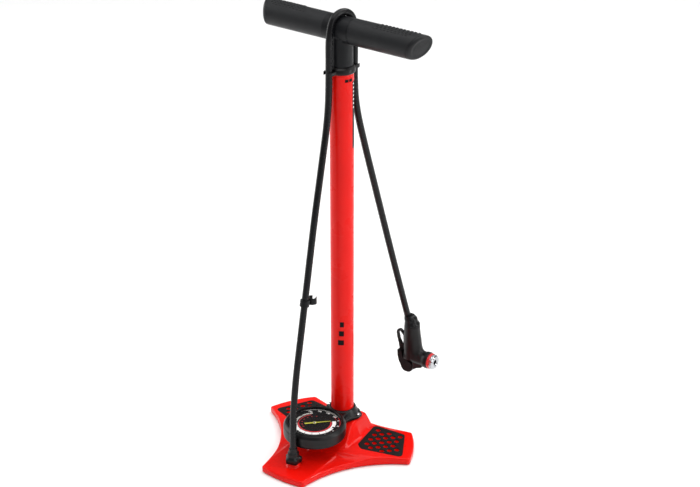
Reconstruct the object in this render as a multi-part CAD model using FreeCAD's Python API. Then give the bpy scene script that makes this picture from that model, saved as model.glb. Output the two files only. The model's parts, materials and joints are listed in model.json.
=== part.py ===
import FreeCAD, Part
import math
import os

V = FreeCAD.Vector
UP = V(0, 0, 1)

# ---------------------------------------------------------------------------
# Driving dimensions, in millimetres. Sub-parts are drawn about the barrel's axis,
# with the floor at z = 0, the gauge towards -Y and the handle along X.
# ---------------------------------------------------------------------------
BARREL_R = 18.0
BARREL_WALL = 1.5
BARREL_BOTTOM = 36.0
BARREL_TOP = 629.6
BARREL_BORE_R = BARREL_R - BARREL_WALL

PLUG_SHOULDER = 35.9
PLUG_TOP = 50.0
SPRING_R = 3.6
SPRING_WIRE_HALF = 0.4
SPRING_TURNS = 3

FOOT_HEIGHT = 1.5
BASE_EDGE_TOP = 10.2
ARM_SLOPE = 0.09
PAD_SINK = 0.8
PAD_PROUD = 0.3
PAD_CORNER_R = 8.0
PAD_MARGIN = 7.5
HOLE_R = 3.4
HOLE_DEPTH = 3.2
HOLE_START = V(77.2, -1.0, 0)
HOLE_ROW = V(7.8, 9.5, 0)
HOLE_COLUMN = V(10.8, -5.3, 0)
FOOT_R = 11.0
FOOT_POCKET = 4.0
POCKET_TOP = 6.5
RIB_HALF = 2.5
HUB_TOP = 41.4
ARM_END_HALF = 40.0
FRONT_END_Y = -160.0
FRONT_BULGE = 4.0
SIDE_FRONT_CORNER = (137.2, -11.8)
SIDE_BACK_CORNER = (95.9, 57.2)
SIDE_BULGE = 5.0
FLANK_MID = (69.0, -73.0)
BACK_MID_Y = 43.2
STAR_CENTRE_Y = -47.2
SIDE_ARM_ANGLE = 30.9
SIDE_ARM_LENGTH = 142.0

GAUGE_Y = -74.3
GAUGE_R = 49.3
GAUGE_BOTTOM = 40.0
GAUGE_TOP = 64.0
CAVITY_R = 43.0
CAVITY_FLOOR = 43.0
DIAL_R = 42.6
DIAL_TOP = 60.4
DIAL_SCREW_X = 31.5
NEEDLE_Z = 61.2
LENS_BOTTOM = 62.6
LENS_TOP = 63.6
GEAR_MODULE = 0.6
PINION_TEETH = 10
SECTOR_TEETH = 50
SECTOR_SPAN = 15
SECTOR_SWING = math.radians(54)
SECTOR_X = -(PINION_TEETH + SECTOR_TEETH) * GEAR_MODULE / 2
GEAR_Z = (49.0, 50.6)
PLATE_LOW = (46.0, 47.2)
PLATE_HIGH = (53.6, 54.8)
ARC_TUBE_R = 27.0

COLLAR_TOP = 56.5
WING_X = 31.0
WING_Y = 5.0
WING_TOP = 46.5
WING_SCREW_X = 27.5

HOSE_R = 5.25
FITTING_Y = -130.4
NUT_BOTTOM = 19.0
NUT_BOSS_TOP = 18.6
NUT_TOP = 36.0
NUT_CORE_R = 10.6
NUT_LOBE_R = 3.6
NUT_LOBE_REACH = 9.6
NUT_LOBES = 5
NUT_TURN = 35.5
SLEEVE_TOP = 44.0

CLIP_RUN = 3
CLIP_SHARE = 0.55
CLIP_HEIGHT = 10.0
C_BORE_R = 5.0
C_OFFSET = (3.6, 14.4)

HANDLE_Z = 690.3
HANDLE_R = 19.6
CORE_R = 14.0
HANDLE_HALF = 137.5
END_SLANT = 0.4
END_RAKE = 0.35
END_CAP_LENGTH = 4.0
NECK_R = 17.0
NECK_BOTTOM = 636.0
ROD_R = 6.0
PISTON_BOTTOM = 62.0

CAP_BOTTOM = 625.0
CAP_TOP = 635.4
CAP_R = 20.5
BUSH_BOTTOM = 612.0
BUSH_TOP = 633.0
HOOK_DISTANCE = 25.3
HOOK_GAP_R = 5.7
HOOK_WALL = 2.6
HOOK_BOTTOM = 626.0
HOOK_TOP = 631.0
HOOK_ANGLE = 79.4

HEAD_X = 34.0
HEAD_Y = 147.0
NOZZLE_Z = 92.0
HEAD_R = 13.0
HEAD_TOP = 147.0
BOOT_TOP = 163.0
PIVOT_X = 29.0
PIVOT_Z = 73.0
LEVER_BOSS_R = 12.0
VALVE_R = 4.2

# The free hose, point by point, in two stretches that meet just above the front hook:
# up from its fitting, then over the handle, through the back hook and down to the head.
FRONT_ROUTE = [
    (0.0, -130.4, 44.0),
    (-0.3, -130.0, 92.0),
    (-1.0, -120.5, 160.0),
    (-1.6, -104.5, 232.0),
    (-2.3, -85.0, 322.0),
    (-3.0, -66.5, 408.0),
    (-3.7, -46.5, 488.0),
    (-4.3, -28.5, 562.0),
    (-4.7, -24.9, 619.0),
    (-4.7, -24.9, 676.0),
]
BACK_ROUTE = [
    (-4.7, -24.9, 676.3),
    (-4.7, -24.9, 704.9),
    (0.0, 0.0, 719.0),
    (4.7, 24.9, 704.9),
    (4.9, 25.8, 658.0),
    (4.7, 25.0, 612.0),
    (5.2, 28.3, 562.0),
    (9.2, 49.0, 486.0),
    (13.6, 72.5, 405.0),
    (18.9, 101.5, 305.0),
    (24.4, 130.5, 208.0),
    (27.0, 144.4, 162.0),
]

parts = {}


# ---------------------------------------------------------------------------
# Small helpers
# ---------------------------------------------------------------------------
def cylinder(radius, z0, z1, x=0.0, y=0.0):
    return Part.makeCylinder(radius, z1 - z0, V(x, y, z0))


def ring(outer, inner, z0, z1, x=0.0, y=0.0):
    return cylinder(outer, z0, z1, x, y).cut(cylinder(inner, z0 - 1, z1 + 1, x, y))


def rod_between(radius, start, end):
    direction = V(*end) - V(*start)
    return Part.makeCylinder(radius, direction.Length, V(*start), direction)


def block(low, high):
    size = V(*high) - V(*low)
    return Part.makeBox(size.x, size.y, size.z, V(*low))


def polygon_wire(points):
    vectors = [V(*p) for p in points]
    return Part.makePolygon(vectors + vectors[:1])


def prism(points, z0, z1):
    wire = polygon_wire([(x, y, z0) for x, y in points])
    return Part.Face(wire).extrude(V(0, 0, z1 - z0))


def turned(profile, x=0.0, y=0.0):
    """A solid of revolution about a vertical axis, from (radius, z) points."""
    wire = polygon_wire([(x + r, y, z) for r, z in profile])
    return Part.Face(wire).revolve(V(x, y, 0), UP, 360)


def turned_about_x(profile, y, z):
    """A solid of revolution about an axis along X, from (x, radius) points."""
    wire = polygon_wire([(x, y, z + r) for x, r in profile])
    return Part.Face(wire).revolve(V(0, y, z), V(1, 0, 0), 360)


def fused(shapes):
    whole = shapes[0].multiFuse(shapes[1:])
    return whole.removeSplitter()


def mirrored(shape):
    return shape.mirror(V(0, 0, 0), V(1, 0, 0))


def hexagon(across_flats, z0, z1, x=0.0, y=0.0):
    radius = across_flats / 2 / math.cos(math.radians(30))
    corners = []
    for i in range(6):
        angle = math.radians(60 * i)
        corners.append((x + radius * math.cos(angle), y + radius * math.sin(angle)))
    return prism(corners, z0, z1)


def helix_spring(radius, half, z0, z1, turns):
    """An open coil spring of square wire about the barrel's axis, between two heights."""
    height = z1 - z0 - 2 * half
    pitch = height / turns
    helix = Part.makeHelix(pitch, height, radius)
    helix.translate(V(0, 0, z0 + half))
    climb = math.atan(pitch / (2 * math.pi * radius))
    up = V(0, -math.sin(climb), math.cos(climb)) * half
    out = V(half, 0, 0)
    start = V(radius, 0, z0 + half)
    section = polygon_wire([start - out - up, start + out - up, start + out + up, start - out + up])
    return Part.Wire(helix.Edges).makePipeShell([section], True, True)


# ---------------------------------------------------------------------------
# Base: casting, foot pads, rubber feet
# ---------------------------------------------------------------------------
def base_outline(z0, z1):
    """The three-armed plan shape: concave between the arms, slightly bulged ends."""
    side_mid_x = (SIDE_FRONT_CORNER[0] + SIDE_BACK_CORNER[0]) / 2
    side_mid_y = (SIDE_FRONT_CORNER[1] + SIDE_BACK_CORNER[1]) / 2
    angle = math.radians(SIDE_ARM_ANGLE)
    bulge = (side_mid_x + SIDE_BULGE * math.cos(angle), side_mid_y + SIDE_BULGE * math.sin(angle))
    half = [
        (0.0, FRONT_END_Y - FRONT_BULGE),
        (ARM_END_HALF, FRONT_END_Y),
        FLANK_MID,
        SIDE_FRONT_CORNER,
        bulge,
        SIDE_BACK_CORNER,
    ]

    def at(point, side):
        return V(side * point[0], point[1], z0)

    edges = [Part.Arc(at(half[1], -1), at(half[0], 1), at(half[1], 1)).toShape()]
    edges.append(Part.Arc(at(half[1], 1), at(half[2], 1), at(half[3], 1)).toShape())
    edges.append(Part.Arc(at(half[3], 1), at(half[4], 1), at(half[5], 1)).toShape())
    edges.append(Part.Arc(at(half[5], 1), V(0, BACK_MID_Y, z0), at(half[5], -1)).toShape())
    edges.append(Part.Arc(at(half[5], -1), at(half[4], -1), at(half[3], -1)).toShape())
    edges.append(Part.Arc(at(half[3], -1), at(half[2], -1), at(half[1], -1)).toShape())
    return Part.Face(Part.Wire(edges)).extrude(V(0, 0, z1 - z0))


def arm_loft(sections):
    """A raised arm along -Y from trapezoids: (y, top z, half width at top, half at bottom)."""
    wires = []
    for y, top, half_top, half_bottom in sections:
        corners = [(-half_bottom, y, FOOT_HEIGHT), (half_bottom, y, FOOT_HEIGHT)]
        corners += [(half_top, y, top), (-half_top, y, top)]
        wires.append(polygon_wire(corners))
    return Part.makeLoft(wires, True, True)


def arm_surface(reach):
    """Height of a side arm's flat top at a distance from the star's centre."""
    return BASE_EDGE_TOP + ARM_SLOPE * (SIDE_ARM_LENGTH - reach)


def tilted(shape):
    """Tilt a level shape, drawn at z = 0, onto the right-hand arm's sloping top."""
    angle = math.radians(SIDE_ARM_ANGLE)
    across = V(-math.sin(angle), math.cos(angle), 0)
    centre = V(SIDE_ARM_LENGTH * math.cos(angle), STAR_CENTRE_Y + SIDE_ARM_LENGTH * math.sin(angle), 0)
    moved = shape.copy()
    moved.rotate(centre, across, math.degrees(math.atan(ARM_SLOPE)))
    moved.translate(V(0, 0, BASE_EDGE_TOP))
    return moved


def side_arm(shape):
    """Turn an arm drawn along -Y from the star's centre into the right-hand arm."""
    moved = shape.copy()
    moved.translate(V(0, STAR_CENTRE_Y, 0))
    moved.rotate(V(0, STAR_CENTRE_Y, 0), UP, 90 + SIDE_ARM_ANGLE)
    return moved


def pad_outline(grow, z0, z1):
    """The right-hand pad's plan, grown by a margin all round."""
    corners = [(40.0, 33.0), (91.5, 43.5), (124.5, -13.5), (62.5, -38.5), (51.5, -30.5)]
    centre_x = sum(x for x, y in corners) / len(corners)
    centre_y = sum(y for x, y in corners) / len(corners)
    grown = []
    for x, y in corners:
        reach = math.hypot(x - centre_x, y - centre_y)
        scale = (reach + grow) / reach
        grown.append(V(centre_x + (x - centre_x) * scale, centre_y + (y - centre_y) * scale, z0))
    edges = []
    for i, corner in enumerate(grown):
        before = grown[i - 1] - corner
        after = grown[(i + 1) % len(grown)] - corner
        half = before.getAngle(after) / 2
        reach = PAD_CORNER_R / math.tan(half)
        inward = (before.normalize() + after.normalize()).normalize()
        middle = corner + inward * (PAD_CORNER_R / math.sin(half) - PAD_CORNER_R)
        edges.append(Part.Arc(corner + before * reach, middle, corner + after * reach).toShape())
    rim = []
    for i, arc in enumerate(edges):
        rim.append(arc)
        following = edges[(i + 1) % len(edges)]
        rim.append(Part.LineSegment(arc.valueAt(arc.LastParameter),
                                    following.valueAt(following.FirstParameter)).toShape())
    return Part.Face(Part.Wire(rim)).extrude(V(0, 0, z1 - z0))


def pad_hole_centres():
    """A slanting grid of holes, kept inside the pad."""
    inside = pad_outline(-PAD_MARGIN, 0, 1)
    holes = []
    for row in range(-8, 9):
        for column in range(-8, 9):
            point = HOLE_START + HOLE_ROW * row + HOLE_COLUMN * column
            if inside.isInside(V(point.x, point.y, 0.5), 0.01, True):
                holes.append((point.x, point.y))
    return holes


def make_base():
    front = arm_loft([
        (-168, BASE_EDGE_TOP, 39, 46),
        (-130, 13.2, 40, 58),
        (-75, 16.2, 40, 75),
        (-43, 21.0, 40, 60),
        (-10, 30.0, 38, 50),
    ])
    side = side_arm(arm_loft([
        (-SIDE_ARM_LENGTH - 6, arm_surface(SIDE_ARM_LENGTH + 6), 39, 46),
        (-110, arm_surface(110), 41, 60),
        (-50, arm_surface(50), 44, 84),
        (-25, 21.0, 40, 60),
    ]))
    hub_low = polygon_wire([(-52, -66, 9), (52, -66, 9), (39, 40, 9), (-39, 40, 9)])
    hub_plan = [(-31, -14), (31, -14), (28, 24), (-28, 24)]
    hub_high = polygon_wire([(x, y, HUB_TOP) for x, y in hub_plan])
    hub = Part.makeLoft([hub_low, hub_high], True, True)
    plate = base_outline(FOOT_HEIGHT, 9)
    boss = turned([(0, 9), (13.5, 9), (12.5, 14), (11.2, NUT_BOSS_TOP), (0, NUT_BOSS_TOP)], 0, FITTING_Y)
    whole = fused([plate, front, side, mirrored(side), hub, boss])
    whole = whole.common(base_outline(FOOT_HEIGHT, HUB_TOP))
    cuts = [cylinder(BARREL_R + 0.1, BARREL_BOTTOM - 0.2, HUB_TOP + 1)]
    cuts.append(cylinder(13.1, 18, BARREL_BOTTOM))
    cuts.append(cylinder(4.2, 0, 19))
    cuts.append(cylinder(8.2, 0, 6))
    cuts.append(cylinder(7.1, 8.9, 40, 0, FITTING_Y))
    cuts.append(rod_between(3.1, (0, -10, 26), (0, -40, 12)))
    cuts.append(rod_between(3.1, (0, -38, 12.2), (0, FITTING_Y, 12.2)))
    for side_sign in (-1, 1):
        pocket = pad_outline(0.4, -PAD_SINK - 0.1, 8)
        wells = [cylinder(HOLE_R, -PAD_SINK - HOLE_DEPTH, 0, x, y) for x, y in pad_hole_centres()]
        pocket = tilted(pocket.multiFuse(wells))
        cuts.append(pocket if side_sign > 0 else mirrored(pocket))
        cuts.append(cylinder(1.6, 26, HUB_TOP + 1, side_sign * WING_SCREW_X, WING_Y))
    for x, y in rubber_foot_places():
        cuts.append(cylinder(FOOT_R + 0.1, 0, FOOT_POCKET, x, y))
    cuts.append(underside_pocket())
    return whole.cut(cuts[0].multiFuse(cuts[1:]))


def rubber_foot_places():
    return [(0.0, -146.0), (106.0, 18.0), (-106.0, 18.0)]


def underside_pocket():
    """The hollow under the casting, inside its rim and between its bosses and ribs."""
    floor = [f for f in base_outline(0, POCKET_TOP).Faces if f.normalAt(0, 0).z < -0.9][0]
    hollow = floor.makeOffset2D(-7).extrude(V(0, 0, POCKET_TOP))
    solid_parts = [cylinder(24, -1, POCKET_TOP + 1)]
    solid_parts.append(block((-5.5, FRONT_END_Y, -1), (5.5, 0, POCKET_TOP + 1)))
    for x, y in rubber_foot_places():
        solid_parts.append(cylinder(FOOT_R + 3, -1, POCKET_TOP + 1, x, y))
    rib = block((-RIB_HALF, -SIDE_ARM_LENGTH, -1), (RIB_HALF, 0, POCKET_TOP + 1))
    solid_parts.append(side_arm(rib))
    solid_parts.append(mirrored(side_arm(rib)))
    return hollow.cut(solid_parts[0].multiFuse(solid_parts[1:]))


def make_foot_pad():
    """The ribbed tread: a slab with a rounded rim and a grid of round holes."""
    slab = pad_outline(0, -PAD_SINK, PAD_PROUD)
    for x, y in pad_hole_centres():
        slab = slab.cut(cylinder(HOLE_R, -PAD_SINK - 1, PAD_PROUD + 1, x, y))
    return tilted(slab)


def make_rubber_feet():
    feet = []
    for x, y in rubber_foot_places():
        feet.append(turned([(0, 0), (FOOT_R - 1.5, 0), (FOOT_R, 1.5), (FOOT_R, 3.9), (0, 3.9)], x, y))
    return Part.makeCompound(feet)


# ---------------------------------------------------------------------------
# Barrel foot: plug, bolt, seals and the check valve
# ---------------------------------------------------------------------------
def make_barrel():
    return ring(BARREL_R, BARREL_BORE_R, BARREL_BOTTOM, BARREL_TOP)


def make_plug():
    outside = turned([
        (0, 18.2),
        (12.9, 18.2),
        (12.9, PLUG_SHOULDER),
        (16.4, PLUG_SHOULDER),
        (16.4, PLUG_TOP),
        (0, PLUG_TOP),
    ])
    groove = ring(17.0, 14.4, 42.0, 45.0)
    bolt_hole = cylinder(3.4, 17, 24)
    air_way = cylinder(2.2, 28, 40)
    side_way = rod_between(2.2, (0, 0, 28), (0, -14, 26))
    valve_room = cylinder(7.0, 40, PLUG_TOP + 1)
    return outside.cut(groove.multiFuse([bolt_hole, air_way, side_way, valve_room]))


def make_barrel_bolt():
    shank = cylinder(3.35, 5, 23.8)
    head = hexagon(12.0, 2.2, 5.2)
    washer_face = cylinder(7.6, 5.2, 5.95)
    return fused([shank, head, washer_face])


def make_valve_retainer():
    cage = turned([(2.6, 48.2), (6.9, 48.2), (6.9, 49.9), (2.6, 49.9)])
    for angle in (0, 120, 240):
        around = math.radians(angle)
        cage = cage.cut(cylinder(1.1, 47, 51, 4.6 * math.cos(around), 4.6 * math.sin(around)))
    return cage


def make_valve_poppet():
    return turned([(0, 40.1), (5.2, 40.1), (5.2, 41.4), (2.4, 43.0), (2.4, 44.0), (0, 44.0)])


# ---------------------------------------------------------------------------
# Gauge
# ---------------------------------------------------------------------------
def make_gauge_housing():
    """The black moulding: dial bowl, barrel collar and two screwed wings in one piece."""
    bowl = turned([
        (0, GAUGE_BOTTOM + 1),
        (GAUGE_R - 5, GAUGE_BOTTOM),
        (GAUGE_R - 1, GAUGE_BOTTOM + 2),
        (GAUGE_R, GAUGE_BOTTOM + 6),
        (GAUGE_R, GAUGE_TOP - 5),
        (GAUGE_R - 2, GAUGE_TOP - 1.6),
        (GAUGE_R - 4, GAUGE_TOP - 0.4),
        (0, GAUGE_TOP - 0.4),
    ], 0, GAUGE_Y)
    collar = turned([(0, HUB_TOP), (24.5, HUB_TOP), (24, 51), (20.5, COLLAR_TOP), (0, COLLAR_TOP)])
    wing_plan = [
        (WING_X, WING_Y + 5),
        (18, 21),
        (-18, 21),
        (-WING_X, WING_Y + 5),
        (-WING_X, WING_Y - 7),
        (-29, -38),
        (29, -38),
        (WING_X, WING_Y - 7),
    ]
    wings = prism(wing_plan, HUB_TOP, WING_TOP)
    whole = fused([bowl, collar, wings])
    cuts = [cylinder(CAVITY_R, CAVITY_FLOOR, GAUGE_TOP + 1, 0, GAUGE_Y)]
    cuts.append(cylinder(BARREL_R + 0.1, 30, 70))
    cuts.append(ring(GAUGE_R - 3.4, CAVITY_R - 1, 61.4, 65, 0, GAUGE_Y))
    cuts.append(cylinder(4.6, 35, 50, 0, GAUGE_Y + 24))
    for side in (-1, 1):
        cuts.append(cylinder(1.9, 40, 60, side * WING_SCREW_X, WING_Y))
    return whole.cut(cuts[0].multiFuse(cuts[1:]))


def make_bracket_screws():
    screws = []
    for side in (-1, 1):
        x = side * WING_SCREW_X
        low = WING_TOP + 0.1
        head = turned([(0, low), (3.3, low), (3.3, low + 0.9), (2.0, low + 2.1), (0, low + 2.1)], x, WING_Y)
        socket = hexagon(2.4, low + 1.0, low + 3, x, WING_Y)
        screws.append(fused([head, cylinder(1.5, 28, low + 0.1, x, WING_Y)]).cut(socket))
    return Part.makeCompound(screws)


def make_bezel():
    """The pressed ring that holds the window down on the bowl."""
    profile = [
        (41.2, LENS_TOP + 0.05),
        (43.2, LENS_TOP + 0.05),
        (43.2, 61.5),
        (45.7, 61.5),
        (45.7, 63.9),
        (44.6, 64.9),
        (42.2, 64.9),
    ]
    return turned(profile, 0, GAUGE_Y)


def make_lens():
    return turned([(0, LENS_BOTTOM), (42.9, LENS_BOTTOM), (42.9, LENS_TOP), (0, LENS_TOP)], 0, GAUGE_Y)


def make_dial():
    disc = cylinder(DIAL_R, DIAL_TOP - 1.0, DIAL_TOP, 0, GAUGE_Y)
    holes = [cylinder(2.2, 50, 70, 0, GAUGE_Y)]
    for side in (-1, 1):
        holes.append(cylinder(1.1, 50, 70, side * DIAL_SCREW_X, GAUGE_Y + 6))
    return disc.cut(holes[0].multiFuse(holes[1:]))


def make_dial_screws():
    screws = []
    for side in (-1, 1):
        head = cylinder(1.9, DIAL_TOP + 0.05, DIAL_TOP + 0.7, side * DIAL_SCREW_X, GAUGE_Y + 6)
        shank = cylinder(0.95, 55.2, DIAL_TOP + 0.1, side * DIAL_SCREW_X, GAUGE_Y + 6)
        screws.append(fused([head, shank]))
    return Part.makeCompound(screws)


def make_dial_spacer():
    """The moulded carrier under the dial, which the dial screws bite into."""
    carrier = ring(CAVITY_R - 0.2, 37.5, 57.0, DIAL_TOP - 1.05, 0, GAUGE_Y)
    ears = []
    for side in (-1, 1):
        ear = block((side * 35 - 7, GAUGE_Y + 2, 55), (side * 35 + 7, GAUGE_Y + 10, DIAL_TOP - 1.05))
        ears.append(ear)
    whole = fused([carrier] + ears)
    for side in (-1, 1):
        whole = whole.cut(cylinder(1.0, 50, 70, side * DIAL_SCREW_X, GAUGE_Y + 6))
    return whole.common(cylinder(CAVITY_R - 0.2, 50, 70, 0, GAUGE_Y))


def toothed(teeth, first, count, phase, x, y):
    """Straight-flanked teeth on a gear's rim: count of them from the first, as one flat solid."""
    pitch_r = teeth * GEAR_MODULE / 2
    root = pitch_r - 1.15 * GEAR_MODULE
    tip = pitch_r + 0.8 * GEAR_MODULE
    step = 2 * math.pi / teeth
    shapes = []
    for i in range(first, first + count):
        mid = phase + i * step
        low = 0.27 * step * pitch_r
        high = 0.11 * step * pitch_r
        along = (math.cos(mid), math.sin(mid))
        across = (-math.sin(mid), math.cos(mid))
        corners = []
        for r, w in ((root - 0.3, -low), (root - 0.3, low), (tip, high), (tip, -high)):
            corners.append((x + r * along[0] + w * across[0], y + r * along[1] + w * across[1]))
        shapes.append(prism(corners, *GEAR_Z))
    return shapes


def make_pinion():
    arbor = cylinder(0.9, PLATE_LOW[0] + 0.3, NEEDLE_Z + 1.0, 0, GAUGE_Y)
    root = PINION_TEETH * GEAR_MODULE / 2 - 1.15 * GEAR_MODULE
    body = cylinder(root, GEAR_Z[0], GEAR_Z[1], 0, GAUGE_Y)
    return fused([arbor, body] + toothed(PINION_TEETH, 0, PINION_TEETH, math.pi, 0, GAUGE_Y))


def make_sector_gear():
    pitch_r = SECTOR_TEETH * GEAR_MODULE / 2
    root = pitch_r - 1.15 * GEAR_MODULE
    half = math.radians(360 / SECTOR_TEETH * SECTOR_SPAN / 2)
    start = -half - SECTOR_SWING / 2
    rim = [(SECTOR_X, GAUGE_Y)]
    steps = 12
    for i in range(steps + 1):
        angle = start + 2 * half * i / steps
        rim.append((SECTOR_X + root * math.cos(angle), GAUGE_Y + root * math.sin(angle)))
    plate = prism(rim, *GEAR_Z)
    hub = cylinder(2.6, GEAR_Z[0], GEAR_Z[1] + 0.8, SECTOR_X, GAUGE_Y)
    arbor = cylinder(0.9, PLATE_LOW[0] + 0.3, PLATE_HIGH[1] - 0.2, SECTOR_X, GAUGE_Y)
    tail_angle = start + half + math.pi
    tail_end = (SECTOR_X + 7 * math.cos(tail_angle), GAUGE_Y + 7 * math.sin(tail_angle), GEAR_Z[0] + 0.8)
    tail = rod_between(0.75, (SECTOR_X, GAUGE_Y, GEAR_Z[0] + 0.8), tail_end)
    half_tooth = math.pi / SECTOR_TEETH
    first = math.ceil((start - half_tooth) / (2 * half_tooth))
    teeth = toothed(SECTOR_TEETH, first, SECTOR_SPAN, half_tooth, SECTOR_X, GAUGE_Y)
    return fused([plate, hub, arbor, tail] + teeth)


def make_movement_plates():
    """Two brass plates on pillars, which carry the pinion's and the sector's pivots."""
    pieces = []
    for z0, z1 in (PLATE_LOW, PLATE_HIGH):
        pieces.append(block((-24.5, GAUGE_Y - 9, z0), (8, GAUGE_Y + 9, z1)))
    for x, y in ((-22.5, -7), (-22.5, 7), (6, -7), (6, 7)):
        pieces.append(cylinder(1.4, PLATE_LOW[0], PLATE_HIGH[1], x, GAUGE_Y + y))
    pieces.append(cylinder(3.5, CAVITY_FLOOR, PLATE_LOW[0] + 0.2, -4, GAUGE_Y))
    whole = fused(pieces)
    for x in (0, SECTOR_X):
        whole = whole.cut(cylinder(0.95, PLATE_LOW[0], 60, x, GAUGE_Y))
    return whole


def make_gauge_socket():
    """The brass block that takes the air in and holds the fixed end of the curved tube."""
    body = block((-6, GAUGE_Y + 17, CAVITY_FLOOR + 0.05), (6, GAUGE_Y + 31, 53))
    stem = cylinder(4.5, 41, CAVITY_FLOOR + 0.2, 0, GAUGE_Y + 24)
    return fused([body, stem]).cut(cylinder(1.6, 35, 50, 0, GAUGE_Y + 24))


def make_bourdon_tube():
    """The flat curved tube that straightens under pressure: an arc of about 250 degrees."""
    section = block((ARC_TUBE_R - 1.2, -0.01, 47.6), (ARC_TUBE_R + 1.2, 0, 53.2))
    faces = [f for f in section.Faces if abs(f.normalAt(0, 0).y) > 0.5]
    swept = faces[0].revolve(V(0, 0, 0), UP, -245)
    swept.rotate(V(0, 0, 0), UP, 76)
    swept.translate(V(0, GAUGE_Y, 0))
    return swept


def make_needle():
    """Pointer with a tail, set along the dial's zero at 45 degrees."""
    thick = (NEEDLE_Z, NEEDLE_Z + 0.5)
    blade = prism([(-16, -1.4), (-3, -1.1), (25.5, -0.35), (25.5, 0.35), (-3, 1.1), (-16, 1.4)], *thick)
    disc = cylinder(3.0, *thick)
    whole = fused([blade, disc]).cut(cylinder(0.92, 60, 63))
    whole.rotate(V(0, 0, 0), UP, 45)
    whole.translate(V(0, GAUGE_Y, 0))
    return whole


def make_needle_hub():
    low = NEEDLE_Z + 0.52
    high = NEEDLE_Z + 1.15
    return turned([(0.95, low), (2.2, low), (1.8, high), (0.95, high)], 0, GAUGE_Y)


# ---------------------------------------------------------------------------
# Hose fitting at the base
# ---------------------------------------------------------------------------
def make_hose_fitting():
    """The brass stem that screws into the base and ends in a barb inside the hose."""
    return turned([
        (2.0, 9.2),
        (7.0, 9.2),
        (7.0, NUT_BOTTOM - 0.4),
        (6.0, NUT_BOTTOM - 0.4),
        (6.0, 30),
        (3.2, 31.5),
        (3.2, 40),
        (2.0, 41.5),
    ], 0, FITTING_Y)


def make_hose_nut():
    """The lobed hand nut that clamps the hose on its stem."""
    core = turned([
        (0, NUT_BOTTOM),
        (NUT_CORE_R - 1, NUT_BOTTOM),
        (NUT_CORE_R, NUT_BOTTOM + 2),
        (NUT_CORE_R, NUT_TOP - 8),
        (9.2, NUT_TOP),
        (0, NUT_TOP),
    ], 0, FITTING_Y)
    lobes = []
    for i in range(NUT_LOBES):
        angle = math.radians(NUT_TURN + 360 * i / NUT_LOBES)
        x = NUT_LOBE_REACH * math.cos(angle)
        y = FITTING_Y + NUT_LOBE_REACH * math.sin(angle)
        lobes.append(turned([
            (0, NUT_BOTTOM),
            (NUT_LOBE_R - 0.5, NUT_BOTTOM),
            (NUT_LOBE_R, NUT_BOTTOM + 1),
            (NUT_LOBE_R, NUT_TOP - 9),
            (2.0, NUT_TOP - 6),
            (0, NUT_TOP - 6),
        ], x, y))
    bore = turned([(0, 10), (6.1, 10), (6.1, 31), (8.0, 31.5), (8.0, 40), (0, 40)], 0, FITTING_Y)
    return fused([core] + lobes).cut(bore)


def make_hose_sleeve():
    """The tapered strain relief over the hose where it leaves the nut."""
    profile = [(3.3, 31.9), (7.9, 31.9), (7.9, 36.5), (6.2, SLEEVE_TOP), (3.3, SLEEVE_TOP)]
    return turned(profile, 0, FITTING_Y)


# ---------------------------------------------------------------------------
# Top cap, rod and piston
# ---------------------------------------------------------------------------
def hook_slot(outward):
    """The space that a hose hook leaves open, from its round seat outwards."""
    seat = cylinder(HOOK_GAP_R, HOOK_BOTTOM - 12, CAP_TOP + 4, outward * HOOK_DISTANCE, 0)
    way = block((0, -HOOK_GAP_R, HOOK_BOTTOM - 12), (30, HOOK_GAP_R, CAP_TOP + 4))
    way.translate(V(HOOK_DISTANCE, 0, 0))
    if outward < 0:
        way.rotate(V(0, 0, 0), UP, 180)
    return seat.fuse(way)


def make_top_cap():
    """The screwed cap with a C-shaped hook for the hose on its front and on its back."""
    body = turned([
        (0, CAP_BOTTOM),
        (CAP_R - 1.2, CAP_BOTTOM),
        (CAP_R - 0.3, CAP_BOTTOM + 1.2),
        (CAP_R, HOOK_BOTTOM + 2),
        (CAP_R - 0.8, CAP_TOP - 2.5),
        (CAP_R - 3.0, CAP_TOP),
        (0, CAP_TOP),
    ])
    hooks = []
    for outward in (-1, 1):
        hooks.append(cylinder(HOOK_GAP_R + HOOK_WALL, HOOK_BOTTOM, HOOK_TOP, outward * HOOK_DISTANCE, 0))
        low = min(0, outward * HOOK_DISTANCE)
        hooks.append(block((low, -8.3, HOOK_BOTTOM), (low + HOOK_DISTANCE, 8.3, HOOK_TOP)))
    whole = fused([body] + hooks)
    cuts = [hook_slot(-1), hook_slot(1)]
    cuts.append(cylinder(BARREL_R + 0.1, 600, BARREL_TOP + 0.1))
    cuts.append(cylinder(9.1, 600, BUSH_TOP + 0.1))
    cuts.append(cylinder(ROD_R + 0.6, 600, 650))
    whole = whole.cut(cuts[0].multiFuse(cuts[1:]))
    whole.rotate(V(0, 0, 0), UP, HOOK_ANGLE)
    return whole


def make_guide_bushing():
    """The plastic bush that guides the rod, hung in the barrel's top."""
    flange = ring(BARREL_BORE_R - 0.1, ROD_R + 0.05, BUSH_BOTTOM, BARREL_TOP)
    nose = ring(9.0, ROD_R + 0.05, BARREL_TOP, BUSH_TOP)
    return fused([flange, nose])


def make_rod():
    return ring(ROD_R, ROD_R - 1.2, PISTON_BOTTOM + 3, 668)


def make_piston():
    outside = turned([
        (0, PISTON_BOTTOM),
        (16.2, PISTON_BOTTOM),
        (16.2, 66),
        (14.0, 66),
        (14.0, 71),
        (16.2, 71),
        (16.2, 76),
        (9, 76),
        (9, 82),
        (0, 82),
    ])
    return outside.cut(cylinder(ROD_R + 0.02, PISTON_BOTTOM + 2.9, 90).fuse(cylinder(2.6, 50, 90)))


def make_piston_seal():
    profile = [(14.05, 66.1), (16.35, 66.1), (16.45, 67), (16.45, 70), (16.35, 70.9), (14.05, 70.9)]
    return turned(profile)


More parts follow.
